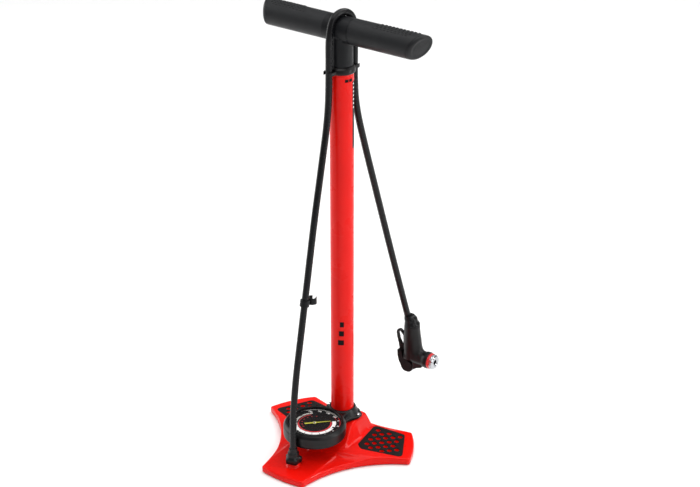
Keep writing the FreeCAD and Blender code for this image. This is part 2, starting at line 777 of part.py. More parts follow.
def make_piston_screw():
    head = hexagon(8.0, 58.8, PISTON_BOTTOM - 1.0)
    shank = cylinder(2.5, 61, 78)
    return fused([head, shank])


def make_piston_washer():
    return ring(6.5, 2.6, PISTON_BOTTOM - 0.95, PISTON_BOTTOM - 0.05)


def make_rod_insert():
    """The threaded slug pressed into the rod's foot for the piston screw."""
    return ring(ROD_R - 1.25, 2.55, PISTON_BOTTOM + 3.1, 84)


def make_bumper():
    bore = ROD_R + 0.05
    return turned([(bore, 83), (10, 83), (11, 86), (9.5, 89), (11, 92), (10, 95), (bore, 95)])


# ---------------------------------------------------------------------------
# Handle
# ---------------------------------------------------------------------------
def slanted_side(offset):
    """Everything on the centre's side of the right-hand end's slanted plane."""
    size = 200
    far = []
    plane = []
    for y, z in ((-size, -size), (size, -size), (size, size), (-size, size)):
        far.append((-2 * size, y, HANDLE_Z + z))
        reach = HANDLE_HALF - offset + END_SLANT * y + END_RAKE * z
        plane.append((reach, y, HANDLE_Z + z))
    return Part.makeLoft([polygon_wire(far), polygon_wire(plane)], True, True)


def both_slants(shape, offset):
    """Cut both ends, each at a slant: the handle is longest at its back and its top."""
    right = slanted_side(offset)
    return shape.common(right).common(mirrored(right))


def handle_bar(radius, half=HANDLE_HALF + 40):
    return rod_between(radius, (-half, 0, HANDLE_Z), (half, 0, HANDLE_Z))


def make_grip(side):
    """One half of the moulded rubber sleeve, from the T-piece to the end cap's seam."""
    sleeve = both_slants(handle_bar(HANDLE_R).cut(handle_bar(CORE_R + 0.05)), END_CAP_LENGTH)
    low = min(side * 22.2, side * 200)
    return sleeve.common(block((low, -40, 600), (low + 177.8, 40, 760)))


def make_end_cap(side):
    """The slanted plug with a softened rim that closes one end of the handle."""
    bar = both_slants(handle_bar(HANDLE_R - 0.3), 0)
    inner = both_slants(handle_bar(HANDLE_R + 5), END_CAP_LENGTH - 0.1)
    shell = bar.cut(inner)
    low = min(side * 60, side * 200)
    return shell.common(block((low, -40, 600), (low + 140, 40, 760)))


def make_handle_core():
    tube = both_slants(handle_bar(CORE_R).cut(handle_bar(CORE_R - 1.8)), END_CAP_LENGTH + 0.2)
    return tube.cut(cylinder(ROD_R + 0.1, 640, HANDLE_Z))


def make_neck():
    """The T-piece: a round neck that carries the middle of the handle as a saddle."""
    neck = turned([
        (0, NECK_BOTTOM),
        (NECK_R - 0.8, NECK_BOTTOM),
        (NECK_R, NECK_BOTTOM + 0.8),
        (NECK_R, HANDLE_Z - 8),
        (0, HANDLE_Z - 8),
    ])
    saddle = handle_bar(HANDLE_R, 22.0)
    whole = fused([neck, saddle]).cut(handle_bar(CORE_R + 0.05))
    return whole.cut(cylinder(ROD_R + 0.02, 630, HANDLE_Z - 10))


def make_handle_bolt():
    """The screw that ties the rod to the handle's core, from inside the core."""
    head = cylinder(4.5, HANDLE_Z - CORE_R + 2.2, HANDLE_Z - CORE_R + 6)
    socket = hexagon(4.0, HANDLE_Z - CORE_R + 3.6, HANDLE_Z)
    shank = cylinder(2.9, 655, HANDLE_Z - CORE_R + 2.3)
    return fused([head, shank]).cut(socket)


def make_rod_top_insert():
    return ring(ROD_R - 1.25, 2.95, 650, 667.8)


# ---------------------------------------------------------------------------
# Hose
# ---------------------------------------------------------------------------
def rounded_path(points):
    """Straight runs joined by tangent arcs, each as large as its two runs allow."""
    corners = [V(*p) for p in points]
    edges = []
    length = 0.0
    radii = []
    here = corners[0]
    for i in range(1, len(corners) - 1):
        back = corners[i - 1] - corners[i]
        ahead = corners[i + 1] - corners[i]
        turn = math.pi - back.getAngle(ahead)
        trim = 0.45 * min(back.Length, ahead.Length)
        radius = trim / math.tan(turn / 2)
        into = corners[i] + back.normalize() * trim
        out = corners[i] + ahead.normalize() * trim
        inward = (back + ahead).normalize()
        middle = corners[i] + inward * (radius / math.cos(turn / 2) - radius)
        edges.append(Part.LineSegment(here, into).toShape())
        edges.append(Part.Arc(into, middle, out).toShape())
        length += (into - here).Length + radius * turn
        radii.append(round(radius))
        here = out
    edges.append(Part.LineSegment(here, corners[-1]).toShape())
    length += (corners[-1] - here).Length
    return Part.Wire(edges), length, radii


def make_hose(name, points):
    path, length, radii = rounded_path(points)
    start = V(*points[0])
    direction = V(*points[1]) - start
    section = Part.Wire(Part.makeCircle(HOSE_R, start, direction))
    tube = path.makePipeShell([section], True, False)
    expected = math.pi * HOSE_R ** 2 * length
    ratio = round(tube.Volume / expected, 4)
    print(name, "length", round(length, 1), "radii", radii, "volume ratio", ratio)
    return tube


def make_hose_clip():
    """A double clip: a closed ring on the hose and an open C beside it, towards the barrel."""
    low = V(*FRONT_ROUTE[CLIP_RUN])
    run = V(*FRONT_ROUTE[CLIP_RUN + 1]) - low
    middle = low + run * CLIP_SHARE
    half_run = V(run).normalize() * (CLIP_HEIGHT / 2)
    ends = (tuple(middle - half_run), tuple(middle + half_run))
    closed = rod_between(HOSE_R + 2.0, *ends)
    z0 = middle.z - CLIP_HEIGHT / 2
    z1 = middle.z + CLIP_HEIGHT / 2
    c_x = middle.x + C_OFFSET[0]
    c_y = middle.y + C_OFFSET[1]
    c_ring = ring(C_BORE_R + 1.8, C_BORE_R, z0, z1, c_x, c_y)
    mouth = block((c_x - 3.6, c_y, z0 - 5), (c_x + 3.6, c_y + 9, z1 + 5))
    bridge = block((middle.x - 0.5, middle.y + 5.5, z0), (middle.x + 3.8, middle.y + 9.2, z1))
    whole = fused([closed, c_ring.cut(mouth), bridge])
    return whole.cut(rod_between(HOSE_R + 0.02, tuple(low), tuple(low + run)))


# ---------------------------------------------------------------------------
# Pump head
# ---------------------------------------------------------------------------
def make_head_body():
    """The moulded head: an upright grip column that bends into the nozzle along +X."""
    column = turned([
        (0, 80),
        (HEAD_R, 80),
        (HEAD_R, HEAD_TOP - 3),
        (HEAD_R - 1.5, HEAD_TOP),
        (0, HEAD_TOP),
    ], HEAD_X, HEAD_Y)
    nozzle = turned_about_x([
        (HEAD_X - 6, 0),
        (HEAD_X - 6, 12.4),
        (60, 12.4),
        (64, 13.9),
        (69.5, 13.9),
        (69.5, 0),
    ], HEAD_Y, NOZZLE_Z)
    heel = block((PIVOT_X - 5, HEAD_Y - 6.3, 68), (PIVOT_X + 16, HEAD_Y + 6.3, 92))
    web = prism([(HEAD_X, -9), (60, -9), (60, 9), (HEAD_X, 9)], 96, 108)
    web.translate(V(0, HEAD_Y, 0))
    whole = fused([column, nozzle, heel, web])
    cuts = [rod_between(9.6, (46.5, HEAD_Y, NOZZLE_Z), (71, HEAD_Y, NOZZLE_Z))]
    cuts.append(rod_between(3.2, (30, HEAD_Y, NOZZLE_Z), (48, HEAD_Y, NOZZLE_Z)))
    cuts.append(rod_between(2.2, (HEAD_X, HEAD_Y, NOZZLE_Z), (HEAD_X, HEAD_Y, HEAD_TOP + 2)))
    cuts.append(rod_between(5.0, (HEAD_X, HEAD_Y, 126), (HEAD_X, HEAD_Y, HEAD_TOP + 2)))
    cuts.append(rod_between(2.05, (PIVOT_X, HEAD_Y - 20, PIVOT_Z), (PIVOT_X, HEAD_Y + 20, PIVOT_Z)))
    cuts.append(block((18, HEAD_Y - 13.4, 60), (42, HEAD_Y - 6.3, 87.2)))
    cuts.append(block((18, HEAD_Y + 6.3, 60), (42, HEAD_Y + 13.4, 87.2)))
    return whole.cut(cuts[0].multiFuse(cuts[1:]))


def make_head_stem():
    """The brass barb that joins the hose to the head."""
    return turned([
        (1.6, 126.1),
        (4.95, 126.1),
        (4.95, HEAD_TOP - 0.1),
        (3.0, HEAD_TOP - 0.1),
        (3.0, 153),
        (1.6, 154),
    ], HEAD_X, HEAD_Y)


def make_boot():
    """The stepped rubber boot over the hose's end."""
    low = V(HEAD_X, HEAD_Y, HEAD_TOP + 0.1)
    sections = []
    steps = [(HEAD_TOP + 0.1, 12.8), (150.5, 12.8), (153.5, 11.2), (156, 10.0), (159, 9.4)]
    steps.append((BOOT_TOP, 7.4))
    for z, radius in steps:
        share = (z - low.z) / (BOOT_TOP - low.z)
        centre = V(HEAD_X - 5.8 * share, HEAD_Y - 2.2 * share, z)
        sections.append(Part.Wire(Part.makeCircle(radius, centre, UP)))
    shell = Part.makeLoft(sections, True, True)
    return shell.cut(cylinder(3.1, HEAD_TOP - 1, 155, HEAD_X, HEAD_Y))


def make_red_band():
    return turned_about_x([(69.6, 9.9), (69.6, 12.9), (74.6, 12.9), (74.6, 9.9)], HEAD_Y, NOZZLE_Z)


def make_nozzle_cap():
    """The bright screwed cap that the valve goes into."""
    cap = turned_about_x([
        (56, VALVE_R + 5.35),
        (74.7, VALVE_R + 5.35),
        (74.7, 12.6),
        (78.5, 12.4),
        (80.5, 9.5),
        (80.5, 0),
        (74.5, 0),
        (74.5, 8.2),
        (56, 8.2),
    ], HEAD_Y, NOZZLE_Z)
    return cap.cut(rod_between(VALVE_R, (70, HEAD_Y, NOZZLE_Z), (90, HEAD_Y, NOZZLE_Z)))


def make_gasket():
    return turned_about_x([(67.5, VALVE_R + 0.1), (67.5, 8.1), (74.4, 8.1), (74.4, VALVE_R + 0.1)],
                          HEAD_Y, NOZZLE_Z)


def make_thimble():
    """The sliding piece that the lever's cam pushes against the gasket."""
    head = turned_about_x([(60, 2.0), (60, 8.1), (64.5, 8.1), (64.5, 2.0)], HEAD_Y, NOZZLE_Z)
    stem = turned_about_x([(44.6, 2.0), (44.6, 3.15), (60.1, 3.15), (60.1, 2.0)], HEAD_Y, NOZZLE_Z)
    plug = turned_about_x([(43.0, 0), (43.0, 3.15), (44.7, 3.15), (44.7, 0)], HEAD_Y, NOZZLE_Z)
    return fused([head, stem, plug])


def lever_outline():
    """The lever's side view in (x, z): pivot boss, back and finger loop, without the gap."""
    boss = []
    for step in range(-170, 41, 15):
        angle = math.radians(step)
        boss.append((PIVOT_X + LEVER_BOSS_R * math.cos(angle), PIVOT_Z + LEVER_BOSS_R * math.sin(angle)))
    inner = [(22.5, 87), (20.4, 98), (20.4, 122), (16.5, 130.5), (11.5, 133.8)]
    outer = [(6.8, 131.6), (5.2, 127), (6.4, 119), (9.8, 107), (11.2, 98), (11.2, 89), (12.8, 79)]
    return boss + inner + outer


def make_lever():
    """The flip lever: cheeks on the pin, a curved back and a finger loop at its top."""
    half = 9.6
    wire = polygon_wire([(x, HEAD_Y - half, z) for x, z in lever_outline()])
    whole = Part.Face(wire).extrude(V(0, 2 * half, 0))
    slot = block((20.8, HEAD_Y - 6.6, 55), (60, HEAD_Y + 6.6, 98))
    gap = [(8.4, 125.6), (10.0, 129.8), (13.0, 129.2), (18.4, 121.5), (18.4, 110.5), (16.2, 107.5)]
    gap.append((11.6, 116))
    loop_gap = polygon_wire([(x, HEAD_Y - 20, z) for x, z in gap])
    cuts = [slot, Part.Face(loop_gap).extrude(V(0, 40, 0))]
    cuts.append(cylinder(HEAD_R + 0.5, 86.8, 150, HEAD_X, HEAD_Y))
    cuts.append(rod_between(2.06, (PIVOT_X, HEAD_Y - 20, PIVOT_Z), (PIVOT_X, HEAD_Y + 20, PIVOT_Z)))
    for side_sign in (-1, 1):
        low = min(side_sign * 6.5, side_sign * 20) + HEAD_Y
        cuts.append(block((0, low, 104), (60, low + 13.5, 140)))
    return whole.cut(cuts[0].multiFuse(cuts[1:]))


def make_lever_pin():
    return rod_between(2.0, (PIVOT_X, HEAD_Y - 9.5, PIVOT_Z), (PIVOT_X, HEAD_Y + 9.5, PIVOT_Z))


# ---------------------------------------------------------------------------
# Assembly
# ---------------------------------------------------------------------------
def o_ring(radius, wire_r, z, y=0.0):
    return Part.makeTorus(radius, wire_r, V(0, y, z))


def build_all():
    pad = make_foot_pad()
    parts["base_casting"] = make_base()
    parts["foot_pad_right"] = pad
    parts["foot_pad_left"] = mirrored(pad)
    parts["rubber_feet"] = make_rubber_feet()
    parts["barrel_tube"] = make_barrel()
    parts["barrel_foot_plug"] = make_plug()
    parts["barrel_foot_seal"] = o_ring(15.45, 1.0, 43.5)
    parts["barrel_bolt"] = make_barrel_bolt()
    parts["valve_retainer"] = make_valve_retainer()
    parts["valve_poppet"] = make_valve_poppet()
    parts["valve_spring"] = helix_spring(SPRING_R, SPRING_WIRE_HALF, 43.05, 48.15, SPRING_TURNS)
    parts["gauge_housing"] = make_gauge_housing()
    parts["bracket_screws"] = make_bracket_screws()
    parts["gauge_bezel"] = make_bezel()
    parts["gauge_window"] = make_lens()
    parts["gauge_dial"] = make_dial()
    parts["dial_carrier"] = make_dial_spacer()
    parts["dial_screws"] = make_dial_screws()
    parts["movement_plates"] = make_movement_plates()
    parts["gauge_socket"] = make_gauge_socket()
    parts["bourdon_tube"] = make_bourdon_tube()
    parts["needle"] = make_needle()
    parts["needle_hub"] = make_needle_hub()
    parts["pinion_arbor"] = make_pinion()
    parts["sector_gear"] = make_sector_gear()
    parts["hose_fitting"] = make_hose_fitting()
    parts["hose_nut"] = make_hose_nut()
    parts["hose_sleeve"] = make_hose_sleeve()
    parts["top_cap"] = make_top_cap()
    parts["guide_bushing"] = make_guide_bushing()
    parts["piston_rod"] = make_rod()
    parts["piston"] = make_piston()
    parts["piston_seal"] = make_piston_seal()
    parts["piston_screw"] = make_piston_screw()
    parts["piston_washer"] = make_piston_washer()
    parts["rod_foot_insert"] = make_rod_insert()
    parts["rod_bumper"] = make_bumper()
    parts["handle_neck"] = make_neck()
    parts["handle_core"] = make_handle_core()
    parts["handle_bolt"] = make_handle_bolt()
    parts["rod_top_insert"] = make_rod_top_insert()
    for side, word in ((-1, "left"), (1, "right")):
        parts["grip_" + word] = make_grip(side)
        parts["end_cap_" + word] = make_end_cap(side)
    parts["hose_front"] = make_hose("hose_front", FRONT_ROUTE)
    parts["hose_back"] = make_hose("hose_back", BACK_ROUTE)
    parts["hose_clip"] = make_hose_clip()
    parts["head_body"] = make_head_body()
    parts["head_stem"] = make_head_stem()
    parts["hose_boot"] = make_boot()
    parts["red_band"] = make_red_band()
    parts["nozzle_cap"] = make_nozzle_cap()
    parts["valve_gasket"] = make_gasket()
    parts["thimble"] = make_thimble()
    parts["head_lever"] = make_lever()
    parts["lever_pin"] = make_lever_pin()


def save_all():
    """Write each sub-part, moved so that the origin is under the middle of the base."""
    os.makedirs("parts", exist_ok=True)
    box = parts["base_casting"].optimalBoundingBox(True, False)
    shift = V(0, -(box.YMin + box.YMax) / 2, 0)
    print("barrel axis at y", round(shift.y, 3))
    for name, shape in parts.items():
        placed = shape.translated(shift)
        placed.exportStep(os.path.join("parts", name + ".step"))


build_all()
save_all()
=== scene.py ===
"""A floor bike pump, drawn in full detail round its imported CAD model."""
import json
import math

import bmesh
import bpy
import numpy as np
from mathutils import Matrix, Vector


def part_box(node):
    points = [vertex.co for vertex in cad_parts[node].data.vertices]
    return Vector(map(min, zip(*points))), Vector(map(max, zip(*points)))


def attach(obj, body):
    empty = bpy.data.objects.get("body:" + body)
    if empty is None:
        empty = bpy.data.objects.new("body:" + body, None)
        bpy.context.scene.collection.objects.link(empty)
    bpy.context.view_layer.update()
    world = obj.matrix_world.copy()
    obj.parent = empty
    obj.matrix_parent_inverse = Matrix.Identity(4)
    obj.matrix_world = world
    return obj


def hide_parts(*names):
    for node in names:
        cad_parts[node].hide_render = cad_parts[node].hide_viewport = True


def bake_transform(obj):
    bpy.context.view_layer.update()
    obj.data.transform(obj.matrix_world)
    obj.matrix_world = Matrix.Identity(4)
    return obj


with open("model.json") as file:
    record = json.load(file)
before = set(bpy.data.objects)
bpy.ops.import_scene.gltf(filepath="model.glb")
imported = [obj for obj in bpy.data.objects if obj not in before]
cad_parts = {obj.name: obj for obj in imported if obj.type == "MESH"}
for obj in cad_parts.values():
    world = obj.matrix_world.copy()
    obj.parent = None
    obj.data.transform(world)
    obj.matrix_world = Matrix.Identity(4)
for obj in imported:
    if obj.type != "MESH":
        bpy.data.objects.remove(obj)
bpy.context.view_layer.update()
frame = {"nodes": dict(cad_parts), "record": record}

# ---- Dimensions, in millimetres about the barrel's axis with the floor at z = 0 ----
MM = 0.001
# Where the barrel's axis stands along Y in the row frame, in metres
AXIS_Y = sum(corner[1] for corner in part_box("barrel_tube")) / 2

BARREL_R = 18.0
BARREL_WALL = 1.5
BARREL_SPAN = (36.0, 629.6)
GAUGE_Y = -74.3
GAUGE_R = 49.3
FITTING_Y = -130.4
HANDLE_Z = 690.3
HANDLE_R = 19.6
HANDLE_HALF = 137.5
END_SLANT = 0.4
END_RAKE = {-1: 0.05, 1: 0.35}
END_CAP = 5.5
SADDLE_HALF = 22.0
NECK_R = 17.0
NECK_BOTTOM = 636.0
CORE_R = 14.05
DIAL_TOP = 60.4
# The head's column in plan, and the lever's pin in (x, z)
HEAD = (34.0, 147.0)
HEAD_TOP = 147.0
PIVOT = (29.0, 73.0)
PIN_R = 2.0
LOOP_HALF = 2.8
NUT_SPAN = (19.0, 36.0)
NOZZLE_Z = 92.0
HOSE_DIAMETER = 10.5
HOSE_SIDES = 24
HOSE_STEPS = 16

# The free hose's route: up from its fitting, through the front hook, over the handle,
# through the back hook and down to the head.
HOSE_ROUTE = [
    (0.0, -130.4, 44.0),
    (-0.3, -130.0, 92.0),
    (-1.0, -120.5, 160.0),
    (-1.6, -104.5, 232.0),
    (-2.3, -85.0, 322.0),
    (-3.0, -66.5, 408.0),
    (-3.7, -46.5, 488.0),
    (-4.3, -28.5, 562.0),
    (-4.7, -24.9, 619.0),
    (-4.7, -24.9, 704.9),
    (0.0, 0.0, 719.0),
    (4.7, 24.9, 704.9),
    (4.9, 25.8, 658.0),
    (4.7, 25.0, 612.0),
    (5.2, 28.3, 562.0),
    (9.2, 49.0, 486.0),
    (13.6, 72.5, 405.0),
    (18.9, 101.5, 305.0),
    (24.4, 130.5, 208.0),
    (27.0, 144.4, 162.0),
]

# Base plan and heights
BASE_CENTRE = (0.0, -47.2)
BASE_BOTTOM = 1.5
PLATE_TOP = 9.0
EDGE_TOP = 10.2
ARM_SLOPE = 0.09
SIDE_ANGLE = math.radians(30.9)
SIDE_REACH = 142.0
HUB_TOP = 41.4
RIM_R = 2.6
FLANK_RUN = 7.5
# Where the hub's front and back slopes start, and their runs
HUB_FRONT = (-66.0, 52.0)
HUB_BACK = (37.0, 13.0)
BASE_WALL = 7
HOLLOW_TOP = 6.5
RIB_HALF = 2.5
FOOT_POCKET_R = 11.1
FOOT_POCKET_TOP = 4.0
BOSS_R = 9.6
BOSS_SLOPE = 5.0
GAUGE_CLEAR_Z = 38.5
# The side arms are narrower on their rear side: places along them, and shares
REAR_PLACES = (0, 25, 60, 110)
REAR_SHARE = (0.45, 0.55, 0.85, 1.0)
# Each arm as (place along it, height of its top, half width of its top)
FRONT_ARM = [
    (-168, 10.2, 39),
    (-130, 13.2, 40),
    (-75, 16.2, 40),
    (-43, 21.0, 40),
    (-10, 30.0, 38),
    (8, 25.0, 31),
    (30, 16.0, 24),
    (44, 10.0, 20),
]
SIDE_ARM = [
    (148, 9.66, 39),
    (110, 13.08, 41),
    (50, 18.48, 44),
    (25, 21.0, 40),
    (0, 23.0, 34),
]
PAD_CORNERS = [(40.0, 33.0), (91.5, 43.5), (124.5, -13.5), (62.5, -38.5), (51.5, -30.5)]
PAD_SINK = 0.8
PAD_PROUD = 0.3
HOLE_R = 3.8
HOLE_DEPTH = 3.2
HOLE_START = (77.2, -1.0)
HOLE_ROW = (7.8, 9.5)
HOLE_COLUMN = (10.8, -5.3)
FOOT_PLACES = [(0.0, -146.0), (106.0, 18.0), (-106.0, 18.0)]
# Bores on the centre line: y, radius, bottom, top and number of sides
BASE_BORES = [
    (0, BARREL_R + 0.1, 35.8, 60, 64),
    (0, 13.1, 18, 40, 48),
    (0, 8.2, -1, 6, 48),
    (0, 4.2, 5, 19, 32),
    (FITTING_Y, 7.1, 8.9, 30, 48),
]

# Print on the barrel and the dial, with plan angles in degrees
STRIP_TURN = (7.0, 50.0)
STRIP_SPAN = (506.0, 612.0)
STRIP_TICKS = 7
STRIP_STEP = 6.2
MARK_TURN = (-76.0, -46.0)
MARK_BARS = (176.0, 192.0, 208.0)
MARK_HEIGHT = 9.0
DIAL_ZERO = 45.0
WHITE_STEP = 21.5
WHITE_GAP = 1.3
NUT_TURN = 35.5
NUT_LOBES = 5
NUT_WAVE = 0.26

# Raised dashes on the grips: first place along x, step, first row's turn in degrees, step
DASH_START = 66
DASH_STEP = 6.2
DASH_TURN = 62
DASH_TURN_STEP = 11

# Camera, with its distances in millimetres
CAMERA_AZIMUTH = math.radians(35.48)
CAMERA_ELEVATION = math.radians(26.47)
CAMERA_DISTANCE = 2821.63
CAMERA_TARGET_Z = 344.25
CAMERA_SHIFT_RIGHT = 12.08
CAMERA_LENS = 95.11
SENSOR = 36.0

# Stage: the lights face the pump's middle, whose height is in millimetres; the floor is in metres
STAGE_MIDDLE_Z = 330
WORLD_STRENGTH = 0.34
FLOOR_HALF = 12.0
# Each light: name, azimuth and elevation in degrees, distance and (width, height) in metres, watts
LIGHTS = [
    ("key_right", 110, 14, 2.4, (0.16, 2.6), 28),
    ("side_right", 72, 26, 2.6, (1.0, 2.0), 12),
    ("side_left", -78, 16, 2.6, (1.5, 2.6), 42),
    ("overhead", 20, 84, 2.6, (2.8, 2.8), 56),
    ("backdrop", 170, 50, 5.0, (3.0, 3.0), 110),
]


def at(x, y, z):
    """A point in millimetres about the barrel's axis, in the row frame in metres."""
    return Vector((x * MM, y * MM + AXIS_Y, z * MM))


# ---- Materials ----
def link(tree, source, target):
    tree.links.new(source, target)


def node(tree, kind, **values):
    made = tree.nodes.new(kind)
    for key, value in values.items():
        if hasattr(made, key):
            setattr(made, key, value)
        else:
            made.inputs[key.replace("_", " ")].default_value = value
    return made


def noise(tree, coords, scale, detail=3.0):
    made = node(tree, "ShaderNodeTexNoise", Scale=scale, Detail=detail)
    link(tree, coords, made.inputs["Vector"])
    return made.outputs["Fac"]


def remap(tree, value, low, high):
    made = node(tree, "ShaderNodeMapRange", From_Min=0.3, From_Max=0.7, To_Min=low, To_Max=high)
    link(tree, value, made.inputs["Value"])
    return made.outputs["Result"]


def finish_of(name, colour, rough=0.5, metallic=0.0, coat=0.0, coat_rough=0.05, vary=0.12, drift=30.0,
              rough_vary=0.06, grain=0.0, grain_scale=1500.0, bumps=0.0, bump_scale=300.0,
              specular=0.5, alpha=1.0, stretch=None):
    """A Principled finish whose colour and roughness drift, with a fine grain and a slower ripple."""
    made = bpy.data.materials.new(name)
    made.use_nodes = True
    tree = made.node_tree
    shader = tree.nodes["Principled BSDF"]
    shader.inputs["Metallic"].default_value = metallic
    shader.inputs["Coat Weight"].default_value = coat
    shader.inputs["Coat Roughness"].default_value = coat_rough
    shader.inputs["Specular IOR Level"].default_value = specular
    shader.inputs["Alpha"].default_value = alpha
    coords = tree.nodes.new("ShaderNodeTexCoord").outputs["Object"]
    if stretch:
        mapping = node(tree, "ShaderNodeMapping")
        mapping.inputs["Scale"].default_value = stretch
        link(tree, coords, mapping.inputs["Vector"])
        coords = mapping.outputs["Vector"]
    ramp = node(tree, "ShaderNodeValToRGB")
    for element, share in zip(ramp.color_ramp.elements, (1 - vary, 1 + vary)):
        element.color = [min(1.0, c * share) for c in colour] + [1.0]
    ramp.color_ramp.elements[0].position = 0.3
    ramp.color_ramp.elements[1].position = 0.7
    link(tree, noise(tree, coords, drift), ramp.inputs["Fac"])
    link(tree, ramp.outputs["Color"], shader.inputs["Base Color"])
    link(tree, remap(tree, noise(tree, coords, drift * 3.1), rough - rough_vary, rough + rough_vary),
         shader.inputs["Roughness"])
    normal = None
    for strength, scale in ((bumps, bump_scale), (grain, grain_scale)):
        if not strength:
            continue
        bump = node(tree, "ShaderNodeBump", Strength=strength, Distance=0.0002)
        link(tree, noise(tree, coords, scale, 2.0), bump.inputs["Height"])
        if normal:
            link(tree, normal, bump.inputs["Normal"])
        normal = bump.outputs["Normal"]
    if normal:
        link(tree, normal, shader.inputs["Normal"])
    return made


RED = (0.72, 0.005, 0.002)
FINISHES = {
    "red_paint": dict(colour=RED, rough=0.30, coat=0.22, coat_rough=0.02, vary=0.04, drift=9, specular=0.07,
                      grain=0.05, grain_scale=2500),
    "pad_rubber": dict(colour=(0.006, 0.0045, 0.0045), rough=0.62, grain=0.35, grain_scale=1800,
                       specular=0.15),
    "foot_rubber": dict(colour=(0.016, 0.016, 0.017), rough=0.7, grain=0.4),
    "seal_rubber": dict(colour=(0.02, 0.02, 0.02), rough=0.5, grain=0.2),
    "turned_aluminium": dict(colour=(0.66, 0.67, 0.69), rough=0.3, metallic=1.0, vary=0.05, grain=0.1,
                             stretch=(1, 1, 14)),
    "zinc_steel": dict(colour=(0.55, 0.56, 0.58), rough=0.36, metallic=1.0, vary=0.1, drift=60),
    "screw_steel": dict(colour=(0.72, 0.72, 0.74), rough=0.22, metallic=1.0, vary=0.06, drift=80),
    "polished_steel": dict(colour=(0.70, 0.71, 0.73), rough=0.12, metallic=1.0, vary=0.03, rough_vary=0.03,
                           stretch=(8, 8, 1)),
    "moulded_black": dict(colour=(0.004, 0.0034, 0.0038), rough=0.34, grain=0.30, grain_scale=2300,
                          specular=0.26),
    "lever_black": dict(colour=(0.0045, 0.0028, 0.0032), rough=0.36, grain=0.22, grain_scale=2200,
                        specular=0.14),
    "bezel_black": dict(colour=(0.004, 0.004, 0.0044), rough=0.32, grain=0.15, grain_scale=2000,
                        specular=0.16),
    "clear_window": dict(colour=(0.04, 0.04, 0.045), rough=0.06, vary=0.02, rough_vary=0.02, alpha=0.04,
                         specular=0.12),
    "dial_black": dict(colour=(0.004, 0.004, 0.0043), rough=0.5, vary=0.15, drift=90, specular=0.12),
    "inner_plastic": dict(colour=(0.10, 0.10, 0.105), rough=0.5, grain=0.2),
    "brass": dict(colour=(0.72, 0.50, 0.20), rough=0.28, metallic=1.0, vary=0.08, drift=70),
    "needle_yellow": dict(colour=(0.62, 0.60, 0.045), rough=0.45, vary=0.06, drift=300),
    "hub_silver": dict(colour=(0.75, 0.75, 0.77), rough=0.2, metallic=1.0, vary=0.04, drift=200),
    "hose_rubber": dict(colour=(0.0046, 0.0046, 0.0054), rough=0.28, grain=0.25, grain_scale=1700,
                        bumps=0.10, bump_scale=240, specular=0.2),
    "clip_black": dict(colour=(0.005, 0.005, 0.0058), rough=0.4, grain=0.2, grain_scale=2000, specular=0.18),
    "neck_black": dict(colour=(0.005, 0.0054, 0.0066), rough=0.38, grain=0.3, grain_scale=2400,
                       specular=0.2),
    "grip_rubber": dict(colour=(0.0072, 0.0077, 0.009), rough=0.46, grain=0.45, grain_scale=2100,
                        specular=0.26),
    "band_red": dict(colour=(0.62, 0.018, 0.022), rough=0.3, coat=0.4, vary=0.08, drift=120),
    "chrome": dict(colour=(0.50, 0.51, 0.53), rough=0.12, metallic=1.0, vary=0.02, rough_vary=0.02,
                   drift=60),
    "print_white": dict(colour=(0.92, 0.92, 0.90), rough=0.5, vary=0.05, drift=400),
    "print_red": dict(colour=(0.62, 0.016, 0.022), rough=0.5, vary=0.08, drift=400),
    "print_grey": dict(colour=(0.48, 0.47, 0.44), rough=0.5, vary=0.08, drift=400),
    "print_dark": dict(colour=(0.004, 0.003, 0.003), rough=0.4, vary=0.15, drift=200, specular=0.08),
}
MATERIALS = {name: finish_of(name, **values) for name, values in FINISHES.items()}


def dress_cad_nodes():
    """Give every CAD node the finish of its own material slot."""
    slots = {row["node"]: row["material_slot"] for row in frame["record"]["subparts"]}
    for name, obj in frame["nodes"].items():
        finish = MATERIALS[slots[name]]
        for holder in obj.material_slots:
            holder.material = finish


# ---- Mesh helpers ----
def linked(name, data):
    """A new object in the scene that holds this data."""
    made = bpy.data.objects.new(name, data)
    bpy.context.collection.objects.link(made)
    return made


def mesh_object(name, points, faces):
    """A clean, undressed mesh object from points in metres."""
    mesh = bpy.data.meshes.new(name)
    mesh.from_pydata(points, [], faces)
    tidy_mesh(mesh)
    return linked(name, mesh)


def object_from(name, verts, faces, finish, body, sharp=35.0, slot=None, replaces=()):
    """A mesh object from points in millimetres, dressed and riding on a body."""
    made = mesh_object(name, [at(*v) for v in verts], faces)
    return dressed(made, finish, body, sharp, slot, replaces)


def tidy_mesh(mesh):
    """Join doubled points and turn every face outwards."""
    work = bmesh.new()
    work.from_mesh(mesh)
    bmesh.ops.remove_doubles(work, verts=work.verts, dist=1e-7)
    bmesh.ops.dissolve_degenerate(work, edges=work.edges, dist=1e-8)
    bmesh.ops.recalc_face_normals(work, faces=work.faces)
    work.to_mesh(mesh)
    work.free()


def dressed(made, finish, body, sharp=35.0, slot=None, replaces=()):
    """The object with its finish, sharp edges, body and replaced nodes set; the slot argument is not used.
    """
    mesh = made.data
    mesh.materials.clear()
    mesh.materials.append(MATERIALS[finish])
    mesh.shade_smooth()
    mesh.set_sharp_from_angle(angle=math.radians(sharp))
    if body:
        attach(made, body)
    if replaces:
        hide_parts(*replaces)
    return made


def turns(count):
    """The angles of equal steps round a circle."""
    return [2 * math.pi * i / count for i in range(count)]


